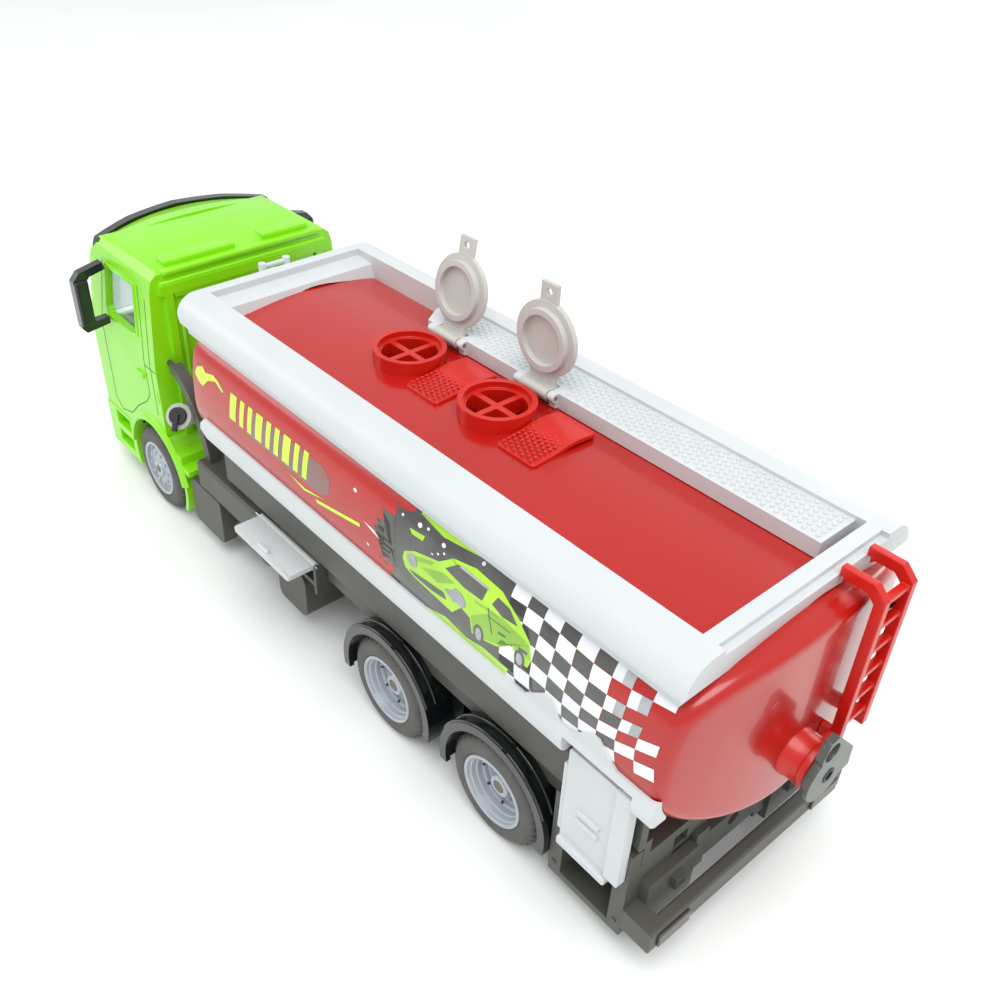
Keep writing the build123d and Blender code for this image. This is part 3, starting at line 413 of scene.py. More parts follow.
def lathe(profile, segments, centre, axis="z"):
    """Turns a profile of (radius, height) points round an axis through the centre."""
    verts = []
    faces = []
    for k in range(segments):
        angle = 2 * math.pi * k / segments
        for radius, height in profile:
            a = radius * math.cos(angle)
            b = radius * math.sin(angle)
            if axis == "z":
                verts.append((centre[0] + a, centre[1] + b, centre[2] + height))
            elif axis == "y":
                verts.append((centre[0] + a, centre[1] + height, centre[2] + b))
            else:
                verts.append((centre[0] + height, centre[1] + a, centre[2] + b))
    rows = len(profile)
    for k in range(segments):
        nxt = (k + 1) % segments
        for j in range(rows - 1):
            faces.append((k * rows + j, nxt * rows + j, nxt * rows + j + 1, k * rows + j + 1))
    return verts, faces


_lo, _hi = box("filler_necks")
FILLER_R = 6.75
FILLER_X = (_hi.x - FILLER_R, _lo.x + FILLER_R)


# ---------------------------------------------------------------- printed pictures on the tank's sides
FLANK_Z = np.array([z for y, z in SECTION if y > 0][::-1])
FLANK_Y = np.array([y for y, z in SECTION if y > 0][::-1])
_order = np.argsort(FLANK_Z)
FLANK_Z, FLANK_Y = FLANK_Z[_order], FLANK_Y[_order]


def flank(x, z, lift, side):
    """A point on the tank's flank at a height, lifted off it along its normal."""
    y = float(np.interp(z, FLANK_Z, FLANK_Y))
    slope = float(np.interp(z + 0.2, FLANK_Z, FLANK_Y) - np.interp(z - 0.2, FLANK_Z, FLANK_Y)) / 0.4
    length = math.hypot(1, slope)
    return (x, side * (y + lift / length), z - lift * slope / length)


def print_layer(name, shapes, mat, lift, side=1):
    """Flat outlines in length and height, cut into strips and laid on the flank."""
    bm = bmesh.new()
    for shape in shapes:
        corners = [bm.verts.new((x, 0, z)) for x, z in shape]
        bm.faces.new(corners)
    bmesh.ops.triangulate(bm, faces=bm.faces)
    for k in [36 + 0.5 * n for n in range(32)] + [52.25 + 0.25 * n for n in range(18)]:
        geometry = bm.verts[:] + bm.edges[:] + bm.faces[:]
        bmesh.ops.bisect_plane(bm, geom=geometry, plane_co=(0, 0, k), plane_no=(0, 0, 1), dist=1e-5)
    for vert in bm.verts:
        vert.co = flank(vert.co.x, vert.co.z, lift, side)
    verts = [tuple(v.co) for v in bm.verts]
    bm.verts.index_update()
    faces = [tuple(v.index for v in f.verts) for f in bm.faces]
    bm.free()
    piece = add_mesh(name, verts, faces, mat, "truck", "tank_red", flat=True)
    smooth(piece.data, 60)
    for face in piece.data.polygons:
        if face.normal.y * side < 0:
            face.flip()
    return piece


def blob(x, z, rx, rz, points=14, rough=0.0, tilt=0.0):
    """A round or ragged spot."""
    shape = []
    for k in range(points):
        angle = 2 * math.pi * k / points
        grow = 1 + rough * (rng.random() - 0.5) * 2
        a = rx * grow * math.cos(angle)
        b = rz * grow * math.sin(angle)
        shape.append((x + a * math.cos(tilt) - b * math.sin(tilt),
                      z + a * math.sin(tilt) + b * math.cos(tilt)))
    return shape


def slanted_bar(x, z0, z1, width, lean):
    """One upright speed bar."""
    return [(x, z0), (x - width, z0), (x - width - lean, z1), (x - lean, z1)]


def flag_cells():
    """A waving chequered flag that frays towards the rear: white and dark cells."""
    white = []
    dark = []
    silver = []
    columns = 9
    rows = 7
    left = -53.0
    pitch = 3.2

    def corner(i, j):
        x = left - pitch * i - 0.35 * math.sin(j * 0.9) - 0.1 * j
        wave = 0.9 * math.sin(i * 0.75 + 0.4)
        top = 56.2
        low = 38.2 + 0.068 * i * i
        z = top + (low - top) * j / rows + wave * math.sin(math.pi * j / rows)
        return (x, z)

    for i in range(columns):
        for j in range(rows):
            a, b, c, d = corner(i, j), corner(i + 1, j), corner(i + 1, j + 1), corner(i, j + 1)
            fray = i - 6.0 + (0.8 if j in (1, 4) else 0.0)
            if (i + j) % 2 == 0:
                if fray > 1.4 and j in (2, 5):
                    continue
                white.append([a, b, c, d])
                if i in (6, 7) and j < 4:
                    silver.append([((a[0] + b[0]) / 2, (a[1] + b[1]) / 2), b, c, ((c[0] + d[0]) / 2,
                                                                                  (c[1] + d[1]) / 2)])
            elif fray < 0.4:
                inset = 0.03 * max(0, i - 2)
                dark.append([(a[0] - inset, a[1] - inset), (b[0] + inset * 0.4, b[1] - inset),
                             (c[0] + inset * 0.4, c[1] + inset), (d[0] - inset, d[1] + inset)])
    return white, dark, silver


def prints(side):
    """Plain printed artwork: upright bars, a splash, a simple coupe and a chequered flag."""
    tag = "left" if side > 0 else "right"
    white, dark, silver = flag_cells()
    splash = [(-25, 47.8), (-22.5, 48.4), (-25.2, 49.2), (-23.2, 50.0), (-26.4, 50.6), (-24.0, 52.2),
              (-27.6, 52.4),
              (-27.2, 54.0), (-30.6, 54.6), (-31.0, 56.4), (-54.6, 56.5), (-54.2, 53.0), (-58.5,
                                                                                          50.5), (-58.0,
                                                                                                  44.0),
              (-60.5, 41.6), (-58.4, 39.4), (-50, 39.3), (-43, 39.0), (-34, 38.8), (-29.0, 38.9), (-29.6,
                                                                                                   41.0),
              (-26.8, 41.4), (-28.8, 43.0), (-25.2, 43.6), (-28.2, 44.8), (-24.6, 45.6), (-28.4, 46.6)]
    specks = [blob(-24 - 3.2 * rng.random(), 42 + 13 * rng.random(), 0.35, 0.2, 9, 0.3) for _ in range(9)]
    print_layer("print_dark_" + tag, [splash] + dark + specks, ink_dark, 0.03, side)
    grey_patch = [[(17.5, 45.2), (17.5, 50.8), (-7.4, 51.2), (-9.8, 49.6), (-9.6, 46.8), (-7.0, 45.4)]]
    print_layer("print_shade_" + tag, grey_patch, ink_shade, 0.02, side)
    body = [(-30.3, 46.6), (-30.6, 48.0), (-33.0, 49.4), (-38.6, 50.9), (-41.4, 53.0), (-46.0, 53.9),
            (-51.8, 53.6),
            (-56.0, 51.8), (-58.8, 49.6), (-59.6, 47.0), (-59.0, 45.2), (-56.9, 45.0), (-55.6,
                                                                                        46.9), (-53.8,
                                                                                                46.6),
            (-52.9, 44.6), (-49.4, 43.4), (-47.2, 43.1), (-46.6, 45.6), (-44.6, 46.2), (-42.6,
                                                                                        43.9), (-38.0,
                                                                                                44.2),
            (-33.2, 44.6), (-31.0, 45.2)]
    stripe = [(-31.5, 39.1), (-36, 40.3), (-41.2, 41.9), (-45.9, 41.2), (-50.0, 42.1), (-55.3, 41.9),
              (-54.3, 39.9),
              (-48.7, 39.4), (-40.5, 38.9)]
    flyer = [(-32.0, 55.1), (-32.6, 56.0), (-36, 56.4), (-46, 56.4), (-49.4, 55.6), (-45.0, 55.2), (-38,
                                                                                                    54.5)]
    dash = [(-31.0, 52.5), (-34.6, 52.9), (-34.4, 52.0), (-31.8, 51.8)]
    print_layer("print_lime_" + tag, [body, stripe, flyer, dash], ink_lime, 0.055, side)
    shade = [[(-31.0, 47.4), (-33.8, 48.9), (-37.8, 50.2), (-37.0, 49.3), (-33.8, 48.0)],
             [(-41.6, 53.0), (-41.0, 52.9), (-45.2, 50.1), (-45.8, 50.0)],
             [(-47.2, 49.4), (-53.0, 50.0), (-58.0, 49.3), (-58.0, 49.0), (-53.0, 49.6), (-47.2, 49.0)],
             [(-46.8, 46.2), (-51.0, 49.6), (-58.6, 49.0), (-59.3, 46.9), (-56.6, 46.2), (-55.6, 47.2),
              (-53.6, 46.8),
              (-52.6, 44.9), (-49.3, 43.7), (-47.4, 43.5)],
             [(-35.0, 47.6), (-39.8, 49.6), (-42.6, 49.4), (-39.0, 47.2)]]
    print_layer("print_green_" + tag, shade, ink_green, 0.075, side)
    glass = [[(-40.2, 50.7), (-42.6, 52.7), (-49.2, 52.4), (-48.6, 50.2), (-44.6, 50.0)],
             [(-50.6, 50.9), (-51.4, 52.5), (-54.0, 52.2), (-56.0, 50.6), (-53.0, 50.2)],
             [(-32.0, 45.4), (-40.4, 46.3), (-41.2, 45.4), (-38.0, 44.9), (-33.6, 44.9)],
             [(-50.2, 48.6), (-55.0, 48.8), (-55.0, 48.65), (-50.2, 48.45)],
             [(-49.9, 49.9), (-50.15, 49.9), (-51.6, 46.0), (-51.35, 46.0)],
             [(-56.8, 47.6), (-58.6, 47.8), (-58.7, 47.3), (-57.0, 47.1)],
             [(-52.6, 47.4), (-54.2, 47.6), (-54.2, 47.2), (-52.7, 47.0)],
             blob(-48.7, 44.0, 1.15, 1.75, 18), blob(-57.3, 45.6, 1.05, 1.6, 18)]
    print_layer("print_glass_" + tag, glass, ink_dark, 0.095, side)
    bright = [blob(-48.7, 44.0, 0.7, 1.2, 16), blob(-57.3, 45.6, 0.65, 1.05, 16),
              [(-43.0, 52.9), (-49.6, 52.8), (-49.4, 52.45), (-43.2, 52.5)],
              blob(-43.0, 47.2, 1.9, 1.1, 13, 0.5), blob(-32.2, 47.6, 1.3, 0.9, 11, 0.5)]
    print_layer("print_silver_" + tag, bright, ink_silver, 0.115, side)
    dots = [blob(x, z, r, r * 0.7, 10) for x, z, r in
            ((-32.9, 53.8, 0.5), (-34.7, 54.1, 0.3), (-38.7, 53.6, 0.45), (-36.9, 51.2, 0.22), (-38.1,
                                                                                                51.9, 0.25),
             (-39.3, 52.6, 0.25), (-46.7, 54.9, 0.35), (-28.8, 53.5, 0.3), (-16.8, 51.6, 0.5), (-21.0,
                                                                                                43.4, 0.35))]
    scratch = [[(-19.6, 47.4), (-22.6, 47.2), (-24.2, 46.3), (-21.6, 46.8)]]
    print_layer("print_white_" + tag, white + dots + scratch, ink_white, 0.05, side)
    print_layer("print_fold_" + tag, silver, ink_silver, 0.065, side)
    bars = []
    x = 24.0
    for k in range(9):
        width = 1.5 if k % 3 else 2.3
        bars.append(slanted_bar(x, 45.8 + 0.02 * k, 51.3 + 0.04 * k, width, 0.5))
        x -= width + 1.35
    nozzle = [[(37.4, 49.6), (36.6, 51.2), (34.6, 52.0), (33.2, 51.2), (30.4, 51.9), (28.2, 51.4), (26.2,
                                                                                                    50.2),
               (26.6, 49.9), (29.4, 51.0), (32.2, 50.0), (34.2, 48.0), (35.4, 48.2), (36.2, 48.6)]]
    tail = [[(3.4, 44.4), (-2.0, 43.4), (-8.4, 45.0), (-2.2, 44.0)],
            [(-5.4, 43.6), (-18.6, 46.2), (-18.8, 45.5), (-6.0, 43.0)]]
    print_layer("print_bars_" + tag, bars + nozzle + tail, ink_yellow, 0.05, side)


ink_shade = material("ink_shade", "7c5350", rough=0.25, tint="8a4b48", scale=90, coat=0.6, coat_rough=0.05)


# ---------------------------------------------------------------- studs
def studs(name, places, radius, height, mat, body, slot):
    """Many small round studs as one piece; places are (x, y, z, tilt of the up direction in y)."""
    verts = []
    faces = []
    sides = 8
    for x, y, z, lean in places:
        start = len(verts)
        up = Vector((0, math.sin(lean), math.cos(lean)))
        across = Vector((0, math.cos(lean), -math.sin(lean)))
        for share, lift in ((1.0, -0.15), (1.0, 0.35), (0.72, 0.85), (0.3, 1.0)):
            for k in range(sides):
                angle = 2 * math.pi * k / sides
                point = Vector((x, y, z)) + Vector((1, 0, 0)) * radius * share * math.cos(angle)
                point += across * radius * share * math.sin(angle) + up * height * lift
                verts.append(point)
        for ring in range(3):
            for k in range(sides):
                a = start + ring * sides + k
                b = start + ring * sides + (k + 1) % sides
                faces.append((a, b, b + sides, a + sides))
        faces.append(tuple(start + 3 * sides + k for k in range(sides)))
    return add_mesh(name, verts, faces, mat, body, slot, angle=60)


def walkway_studs():
    lo, hi = box("walkway")
    places = []
    top = 62.2
    row = 0
    x = lo.x + 1.2
    keep_out = [(fx - 5.4, fx + 5.4) for fx in FILLER_X]
    while x < hi.x - 3.8:
        y = -17.0 + (0.65 if row % 2 else 0.0)
        while y < -9.9:
            near_lid = any(a < x < b for a, b in keep_out)
            if not (near_lid and y > -12.4):
                places.append((x, y, top, 0.0))
            y += 1.3
        x += 1.15
        row += 1
    studs("walkway_studs", places, 0.38, 0.34, pale, "truck", "pale")


def crown(y):
    """Height of the tank's crown at a distance from the middle, and its lean."""
    half = SECTION[SECTION[:, 1] > 55]
    order = np.argsort(half[:, 0])
    z = float(np.interp(y, half[order, 0], half[order, 1]))
    ahead = float(np.interp(y + 0.5, half[order, 0], half[order, 1]))
    return z, math.atan2(-(ahead - z), 0.5)


def tread_studs():
    lo, hi = box("tread_plates")
    places = []
    for start in (hi.x - 0.9, lo.x + 8.7 - 0.9):
        for i in range(8):
            for j in range(13):
                y = -6.9 + j * 1.04 + (0.5 if i % 2 else 0.0)
                z, lean = crown(y)
                places.append((start - i * 0.95, y, z + 0.9, lean))
    studs("tread_studs", places, 0.3, 0.26, trim_red, "truck", "trim_red")


# ---------------------------------------------------------------- wheels
def ring_faces(rows, segments):
    faces = []
    for k in range(segments):
        nxt = (k + 1) % segments
        for j in range(rows - 1):
            faces.append((k * rows + j, nxt * rows + j, nxt * rows + j + 1, k * rows + j + 1))
    return faces


def tyre(name, node, twin):
    """Both tyres of an axle: plain sidewalls with a bead, and a tread with notched shoulders."""
    lo, hi = box(node)
    axle_x = (lo.x + hi.x) / 2
    axle_z = (lo.z + hi.z) / 2
    radius = (hi.z - lo.z) / 2
    outer = hi.y
    width = 11.5 if twin else 7.0
    segments = 144
    verts = []
    faces = []
    for side in (1, -1):
        start = len(verts)
        profile = [(6.7, width - 0.5), (6.9, width - 0.15), (7.5, width), (8.6, width - 0.02), (9.3,
                                                                                                width - 0.3),
                   (9.75, width - 0.7), (radius - 0.1, width - 1.0), (radius, width - 1.5), (radius,
                                                                                             width - 2.3)]
        middle = width / 2
        if twin:
            profile += [(radius, middle + 1.5), (radius - 0.25, middle + 0.9), (9.2, middle + 0.7), (8.9,
                                                                                                     middle),
                        (9.2, middle - 0.7), (radius - 0.25, middle - 0.9), (radius, middle - 1.5)]
        profile += [(radius, 2.3), (radius, 1.5), (radius - 0.1, 1.0), (9.3, 0.3), (7.5, 0.05), (6.7, 0.3)]
        rows = len(profile)
        notch_rows = {5: 0.18, 6: 0.5, 7: 0.5, rows - 4: 0.4, rows - 5: 0.4}
        for k in range(segments):
            angle = 2 * math.pi * k / segments
            for j, (r, height) in enumerate(profile):
                if j in notch_rows and k % 4 in (0, 1):
                    r -= notch_rows[j]
                y = side * (outer - width + height)
                verts.append((axle_x + r * math.cos(angle), y, axle_z + r * math.sin(angle)))
        faces += [tuple(start + v for v in f) for f in ring_faces(rows, segments)]
    piece = add_mesh(name, verts, faces, rubber, BODY[node], "tyre", angle=38)
    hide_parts(node)
    return piece


def join(parts):
    """Several (vertices, faces) parts as one."""
    verts = []
    faces = []
    for part_verts, part_faces in parts:
        start = len(verts)
        verts += part_verts
        faces += [tuple(start + v for v in f) for f in part_faces]
    return verts, faces


def bolts(circle_r, count, y0, y1, radius, axle_x, axle_z, side, sides=6):
    """A ring of bolt heads along the axle's direction."""
    verts = []
    faces = []
    for n in range(count):
        turn = 2 * math.pi * n / count
        cx = axle_x + circle_r * math.cos(turn)
        cz = axle_z + circle_r * math.sin(turn)
        start = len(verts)
        for share, y in ((1.0, y0), (1.0, y0 + (y1 - y0) * 0.7), (0.6, y1)):
            for k in range(sides):
                a = 2 * math.pi * k / sides
                verts.append((cx + radius * share * math.cos(a), side * y,
                              cz + radius * share * math.sin(a)))
        for ring in range(2):
            for k in range(sides):
                p = start + ring * sides + k
                q = start + ring * sides + (k + 1) % sides
                faces.append((p, q, q + sides, p + sides))
        faces.append(tuple(start + 2 * sides + k for k in range(sides)))
    return verts, faces


def rim(name, node, twin):
    """Both rims of an axle: a rolled flange, a stepped dish with dark discs painted as the shade in its hand
    holes, a bolt ring and a hub.
    """
    lo, hi = box(node)
    axle_x = (lo.x + hi.x) / 2
    axle_z = (lo.z + hi.z) / 2
    outer = hi.y
    verts = []
    faces = []
    segments = 120
    for side in (1, -1):
        start = len(verts)
        if twin:
            profile = [(6.75, -3.0), (6.75, 0.05), (6.6, 0.2), (6.3, 0.2), (6.1, 0.0), (6.0, -0.5), (5.75,
                                                                                                     -0.7),
                       (5.6, -1.5), (5.35, -1.7), (5.25, -2.6), (4.9, -2.9), (4.75, -3.5), (4.4,
                                                                                            -3.8), (3.5,
                                                                                                    -3.75),
                       (3.1, -3.4), (2.5, -3.35), (2.2, -3.1), (2.1, -1.9), (1.9, -1.65), (1.2,
                                                                                           -1.6), (1.1,
                                                                                                   -1.95),
                       (0.02, -1.95)]
        else:
            profile = [(6.75, -3.0), (6.75, 0.05), (6.6, 0.2), (6.2, 0.2), (6.0, 0.0), (5.9, -0.7), (5.6,
                                                                                                     -0.95),
                       (5.2, -0.95), (4.9, -0.6), (4.3, -0.35), (3.2, -0.25), (2.9, -0.45), (2.2, -0.45),
                       (2.0, -0.25), (1.9, 0.1), (1.5, 0.2), (0.9, 0.2), (0.8, 0.0), (0.02, 0.0)]
        for k in range(segments):
            angle = 2 * math.pi * k / segments
            for r, height in profile:
                verts.append((axle_x + r * math.cos(angle), side * (outer + height),
                              axle_z + r * math.sin(angle)))
        faces += [tuple(start + v for v in f) for f in ring_faces(len(profile), segments)]
        ring = (3.85, 10, outer - 3.9, outer - 3.1, 0.36) if twin else (3.9, 10, outer - 0.4,
                                                                        outer + 0.12, 0.42)
        more_verts, more_faces = bolts(*ring, axle_x, axle_z, side)
        start = len(verts)
        verts += more_verts
        faces += [tuple(start + v for v in f) for f in more_faces]
    piece = add_mesh(name, verts, faces, rim_paint, BODY[node], "rim", angle=30)
    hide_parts(node)
    # Painted shade: small dark raised discs stand for the hand holes' shaded insides; no holes are cut into
    # the rim.
    shade_disc_ring = (5.05, 8, outer - 3.0, outer - 2.62, 0.3) if twin else (5.25, 8, outer - 1.2, outer - 0.82, 0.32)
    shade_discs = join([bolts(*shade_disc_ring, axle_x, axle_z, side, 14) for side in (1, -1)])
    add_mesh(name + "_hand_hole_shade", *shade_discs, dark_trim, BODY[node], "rim", angle=60)
    return piece


def tube(name, paths, radius, mat, body, slot, sides=10):
    """Round bars bent along open or closed paths; closed paths repeat their first point at the end."""
    verts = []
    faces = []
    for path in paths:
        points = [Vector(q) for q in path]
        closed = (points[0] - points[-1]).length < 1e-6
        if closed:
            points = points[:-1]
        start = len(verts)
        count = len(points)
        for i, point in enumerate(points):
            ahead = points[(i + 1) % count] if closed or i < count - 1 else point
            behind = points[i - 1] if closed or i > 0 else point
            along = (ahead - behind).normalized()
            side = along.cross(Vector((1, 0, 0)))
            if side.length < 0.2:
                side = along.cross(Vector((0, 0, 1)))
            side.normalize()
            other = along.cross(side)
            for k in range(sides):
                angle = 2 * math.pi * k / sides
                verts.append(point + side * radius * math.cos(angle) + other * radius * math.sin(angle))
        last = count if closed else count - 1
        for i in range(last):
            for k in range(sides):
                a = start + i * sides + k
                b = start + i * sides + (k + 1) % sides
                c = start + ((i + 1) % count) * sides + (k + 1) % sides
                d = start + ((i + 1) % count) * sides + k
                faces.append((a, b, c, d))
        if not closed:
            faces.append(tuple(start + k for k in range(sides)))
            faces.append(tuple(start + (count - 1) * sides + k for k in range(sides)))
    return add_mesh(name, verts, faces, mat, body, slot, angle=60)


def rounded(corners, radius, steps=5):
    """An open path with its inner corners rounded."""
    points = [Vector(corners[0])]
    for before, here, after in zip(corners, corners[1:], corners[2:]):
        here = Vector(here)
        a = here + (Vector(before) - here).normalized() * radius
        b = here + (Vector(after) - here).normalized() * radius
        for k in range(steps + 1):
            t = k / steps
            points.append(a * (1 - t) ** 2 + here * 2 * t * (1 - t) + b * t ** 2)
    points.append(Vector(corners[-1]))
    return points


def soft_boxes(name, boxes, bevel, mat, body, slot):
    """Bevelled blocks given by their low and high corners, as one piece."""
    verts = []
    faces = []
    for x0, x1, y0, y1, z0, z1 in boxes:
        start = len(verts)
        verts += [(x, y, z) for x in (x0, x1) for y in (y0, y1) for z in (z0, z1)]
        faces += [tuple(start + k for k in f) for f in ((0, 1, 3, 2), (4, 6, 7, 5), (0, 4, 5, 1), (2, 3,
                                                                                                   7, 6),
                                                         (0, 2, 6, 4), (1, 5, 7, 3))]
    piece = add_mesh(name, verts, faces, mat, body, slot, flat=True)
    modifier = piece.modifiers.new("edges", "BEVEL")
    modifier.width = bevel * MM
    modifier.segments = 3
    modifier.limit_method = "ANGLE"
    apply_modifiers(piece)
    smooth(piece.data, 40)
    return piece


CAB_LO = box("cab_shell")[0]
CAB_REAR = CAB_LO.x + 0.9


CAB_HALF_WIDTH = 24.4
CAB_WAIST_Z = 40.0
PILLAR_LEAN = 1.5 / 17.4
CAB_SHIFT = CAB_LO.x + 0.9 - 61.5


def cab_side(z):
    """Half the cab's width at a height: upright low down, leaning in above the door's waist."""
    return CAB_HALF_WIDTH if z < CAB_WAIST_Z else CAB_HALF_WIDTH - (z - CAB_WAIST_Z) * PILLAR_LEAN


def seam(points, width, lift, side):
    """A narrow ribbon on the cab's side following points in length and height."""
    verts = []
    faces = []
    count = len(points)
    for i, (x, z) in enumerate(points):
        x0, z0 = points[max(i - 1, 0)]
        x1, z1 = points[min(i + 1, count - 1)]
        length = math.hypot(x1 - x0, z1 - z0)
        nx, nz = -(z1 - z0) / length, (x1 - x0) / length
        for s, out in ((-1, -0.2), (-1, lift), (1, lift), (1, -0.2)):
            zz = z + s * nz * width / 2
            verts.append((x + s * nx * width / 2, side * (cab_side(zz) + out), zz))
    for i in range(count - 1):
        for k in range(3):
            a = i * 4 + k
            faces.append((a, a + 1, a + 5, a + 4))
    return verts, faces


def dense(points, step=1.0):
    """The same path with points at most a step apart."""
    result = [points[0]]
    for (x0, z0), (x1, z1) in zip(points, points[1:]):
        parts = max(1, int(math.hypot(x1 - x0, z1 - z0) / step))
        result += [(x0 + (x1 - x0) * k / parts, z0 + (z1 - z0) * k / parts) for k in range(1, parts + 1)]
    return result


def cab_details():
    """Door seams, handles, window frames, back-wall pipes and rings, roof edge bars and fender lips."""
    shift = CAB_SHIFT
    seams = []
    for side in (1, -1):
        door = [(67.4, 57.0), (67.0, 50.0), (67.0, 31.0), (69.6, 28.0), (75.0, 24.4), (80.0, 20.0), (85.6,
                                                                                                     18.4),
                (88.6, 20.4), (88.2, 42.0), (84.8, 57.2)]
        waist = [(61.9, 38.6), (67.0, 38.6)]
        panel = [(64.2, 27.0), (64.2, 55.0)]
        for path in (door, waist, panel):
            seams.append(seam(dense([(x + shift, z) for x, z in path]), 0.26, 0.03, side))
    add_mesh("cab_seams", *join(seams), seam_green, "truck", "cab_green", angle=60)
    window_edge = [(83.9, 44.4), (84.9, 46.1), (83.5, 56.7), (69.1, 56.7), (69.1, 45.0), (72.7, 44.2),
                   (83.9, 44.4)]
    edge_path = dense([(x + shift, z) for x, z in window_edge])
    frames = join([seam(edge_path, 0.7, 0.25, side) for side in (1, -1)])
    add_mesh("cab_window_frames", *frames, green, "truck", "cab_green", angle=60)
    handles = []
    for side in (1, -1):
        y0, y1 = sorted((side * 24.2, side * 24.95))
        handles.append((68.2 + shift, 71.6 + shift, y0, y1, 34.6, 35.9))
        handles.append((62.4 + shift, 63.2 + shift, y0, side * 24.6 if side > 0 else y1, 30.6, 33.4))
    handles = [(a, b, min(c, d), max(c, d), e, f) for a, b, c, d, e, f in handles]
    soft_boxes("cab_handles", handles, 0.22, green, "truck", "cab_green")
    rear = CAB_REAR
    paths = []
    for y in (16.4, -15.6):
        paths.append(rounded([(rear - 0.1, y, 24.0), (rear - 0.1, y, 52.6), (rear - 0.1, y - 4.2, 52.6),
                              (rear - 0.1, y - 4.2, 30.0)], 1.9))
    for y, z in ((9.4, 47.0), (9.4, 40.0), (-2.2, 47.0), (-8.8, 41.0)):
        ring = [(rear - 0.1, y + 2.3 * math.cos(k * math.pi / 12), z + 2.3 * math.sin(k * math.pi / 12))
                for k in range(24)]
        paths.append(ring + [ring[0]])
    tube("cab_back_pipes", paths, 0.55, green, "truck", "cab_green")
    bars = [(rear - 0.6, rear + 2.0, -19.4, 19.4, 60.2, 61.5), (rear + 1.4, rear + 5.4, -17.6, -6.0, 61.2,
                                                                62.75),
            (rear + 1.4, rear + 5.4, 1.0, 18.0, 61.2, 62.75), (rear - 0.7, rear + 0.6, -17.6, 17.6, 55.0,
                                                               56.6),
            (rear - 0.7, rear + 0.4, -20.6, 20.6, 58.0, 59.2)]
    soft_boxes("cab_roof_steps", bars, 0.45, green, "truck", "cab_green")
    lips_v = []
    lips_f = []
    lo, hi = box("tyres_front")
    wheel_x = (lo.x + hi.x) / 2
    wheel_z = (lo.z + hi.z) / 2
    for side in (1, -1):
        start = len(lips_v)
        steps = 28
        for k in range(steps + 1):
            angle = math.radians(8 + 164 * k / steps)
            for r, y in ((12.45, 23.6), (12.45, 25.1), (12.9, 25.35), (13.5, 25.2), (14.3, 24.3)):
                lips_v.append((wheel_x + r * math.cos(angle), side * y, wheel_z + r * math.sin(angle)))
        for k in range(steps):
            for j in range(4):
                a = start + k * 5 + j
                lips_f.append((a, a + 1, a + 6, a + 5))
    add_mesh("wheel_arch_lips", lips_v, lips_f, green, "truck", "cab_green", angle=60)


def cab_header():
    """The rounded brow that carries the roof forward to the visor."""
    shift = CAB_SHIFT
    verts = []
    faces = []
    stations = 25
    for i in range(stations):
        y = -20.6 + 41.2 * i / (stations - 1)
        bow = 1 - (y / 22.0) ** 2
        crown = 61.2 + 1.7 * (1 - (y / 21.0) ** 2)
        front = 87.6 + 4.7 * bow
        for x, z in ((84.0, crown - 1.2), (84.0, crown - 0.05), (87.0, crown - 0.3), (front - 0.6,
                                                                                      crown - 0.9),
                     (front, crown - 1.5), (front, 57.6), (87.0, 57.6)):
            verts.append((x + shift, y, z))
    for i in range(stations - 1):
        for k in range(7):
            a = i * 7 + k
            b = i * 7 + (k + 1) % 7
            faces.append((a, b, b + 7, a + 7))
    faces.append(tuple(range(7)))
    faces.append(tuple((stations - 1) * 7 + k for k in range(7)))
    add_mesh("cab_header", verts, faces, green, "truck", "cab_green", angle=50)


def hubs():
    """Metal hub caps in the rims."""
    for part in ("front", "middle", "rear"):
        lo, hi = box("rims_" + part)
        x = (lo.x + hi.x) / 2
        z = (lo.z + hi.z) / 2
        depth = 1.95 if part != "front" else 0.0
        verts = []
        faces = []
        for side in (1, -1):
            face_y = hi.y - depth
            cap = [(1.0, face_y - 0.3), (1.0, face_y + 0.25), (0.8, face_y + 0.4), (0.01, face_y + 0.4)]
            more_v, more_f = lathe(cap, 28, (x, 0, z), "y")
            if side < 0:
                more_v = [(a, -b, c) for a, b, c in more_v]
            start = len(verts)
            verts += more_v
            faces += [tuple(start + v for v in f) for f in more_f]
        add_mesh("hub_caps_" + part, verts, faces, hub_metal, BODY["rims_" + part], "rim", angle=40)


def outlet():
    """The short outlet pipe at the tank's rear: a plain barrel with a low collar at each end."""
    lo, hi = box("outlet_spigot")
    pin_lo, pin_hi = box("valve_pin")
    y = (pin_lo.y + pin_hi.y) / 2
    z = (pin_lo.z + pin_hi.z) / 2
    profile = [(0.02, hi.x + 0.6), (3.9, hi.x + 0.6), (3.9, hi.x - 0.6), (3.7, hi.x - 0.9), (3.7,
                                                                                             lo.x + 1.5),
               (3.9, lo.x + 1.35), (3.95, lo.x + 0.5), (3.8, lo.x + 0.25), (3.2, lo.x + 0.12), (0.02,
                                                                                                lo.x + 0.12)]
    verts, faces = lathe(profile, 72, (0, y, z), "x")
    add_mesh("outlet_barrel", verts, faces, trim_red, "truck", "trim_red", angle=35)


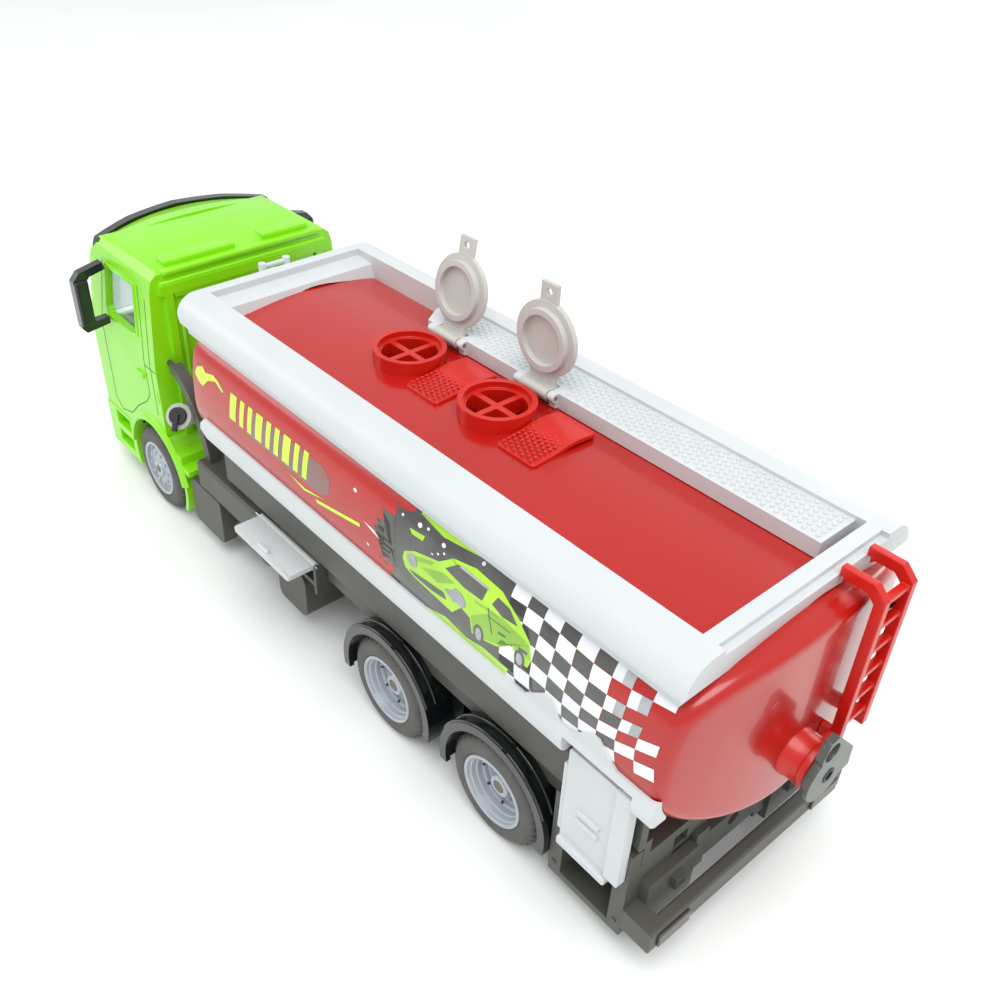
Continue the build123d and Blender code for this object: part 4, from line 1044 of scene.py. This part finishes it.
def guard_ridges():
    """Raised ridges over the rear mudguards."""
    paths = []
    for part in ("middle", "rear"):
        lo, hi = box("tyres_" + part)
        x = (lo.x + hi.x) / 2
        z = (lo.z + hi.z) / 2
        for side in (1, -1):
            for y in (24.9, 22.9):
                arc = [(x + 13.0 * math.cos(math.radians(a)), side * y,
                        z + 13.0 * math.sin(math.radians(a)))
                       for a in range(24, 157, 4)]
                paths.append(arc)
    tube("mudguard_ridges", paths, 0.3, black_gloss, "truck", "black_gloss", 8)


def frame_bolts():
    """Round studs at the corners of the rear cabinets."""
    lo, hi = box("cabinet_left")
    places = [(x, z) for x in (lo.x + 1.2, hi.x - 1.2) for z in (7.0, 20.0)]
    parts = [bolts(0.0, 1, hi.y - 0.1, hi.y + 0.3, 0.45, x, z, side, 12) for side in (1, -1) for x,
             z in places]
    add_mesh("cabinet_studs", *join(parts), chassis_grey, "truck", "chassis", angle=50)


# ---------------------------------------------------------------- build
studio()
camera()

tank()
for flank_side in (1, -1):
    prints(flank_side)

for part in ("front", "middle", "rear"):
    tyre("tyre_pair_" + part, "tyres_" + part, part != "front")
    rim("rim_pair_" + part, "rims_" + part, part != "front")

BEVELS = {"cab_shell": 0.7, "cab_skirt": 0.4, "top_frame": 0.4, "walkway": 0.25, "lower_rail_left": 0.3,
          "lower_rail_right": 0.3, "ladder": 0.2, "filler_necks": 0.18, "tread_plates": 0.2,
          "valve_plate": 0.2,
          "outlet_spigot": 0.2, "mirror_left": 0.4, "mirror_right": 0.4, "sun_visor": 0.3,
          "shutter_left": 0.15,
          "shutter_right": 0.15, "mudguard_left": 0.2, "mudguard_right": 0.2, "grille": 0.04}
SKIP = {"tank_shell", "tank_front_cap", "glazing", "chassis_screws", "lid_pins", "flap_pins", "valve_pin",
        "axle_front", "axle_middle", "axle_rear"}
for node in sorted(NODES):
    if node.startswith(("tyres_", "rims_")) or node in SKIP:
        continue
    refine(node, BEVELS.get(node, 0.15))
for node in sorted(SKIP - {"tank_shell", "tank_front_cap"}):
    NODES[node].data.materials.clear()
    NODES[node].data.materials.append(dark_trim if node == "valve_pin" else SLOT_MATERIAL[SLOT[node]])

walkway_studs()
tread_studs()
cab_details()
cab_header()
hubs()
outlet()
guard_ridges()
frame_bolts()

bpy.context.scene.view_settings.view_transform = "Standard"
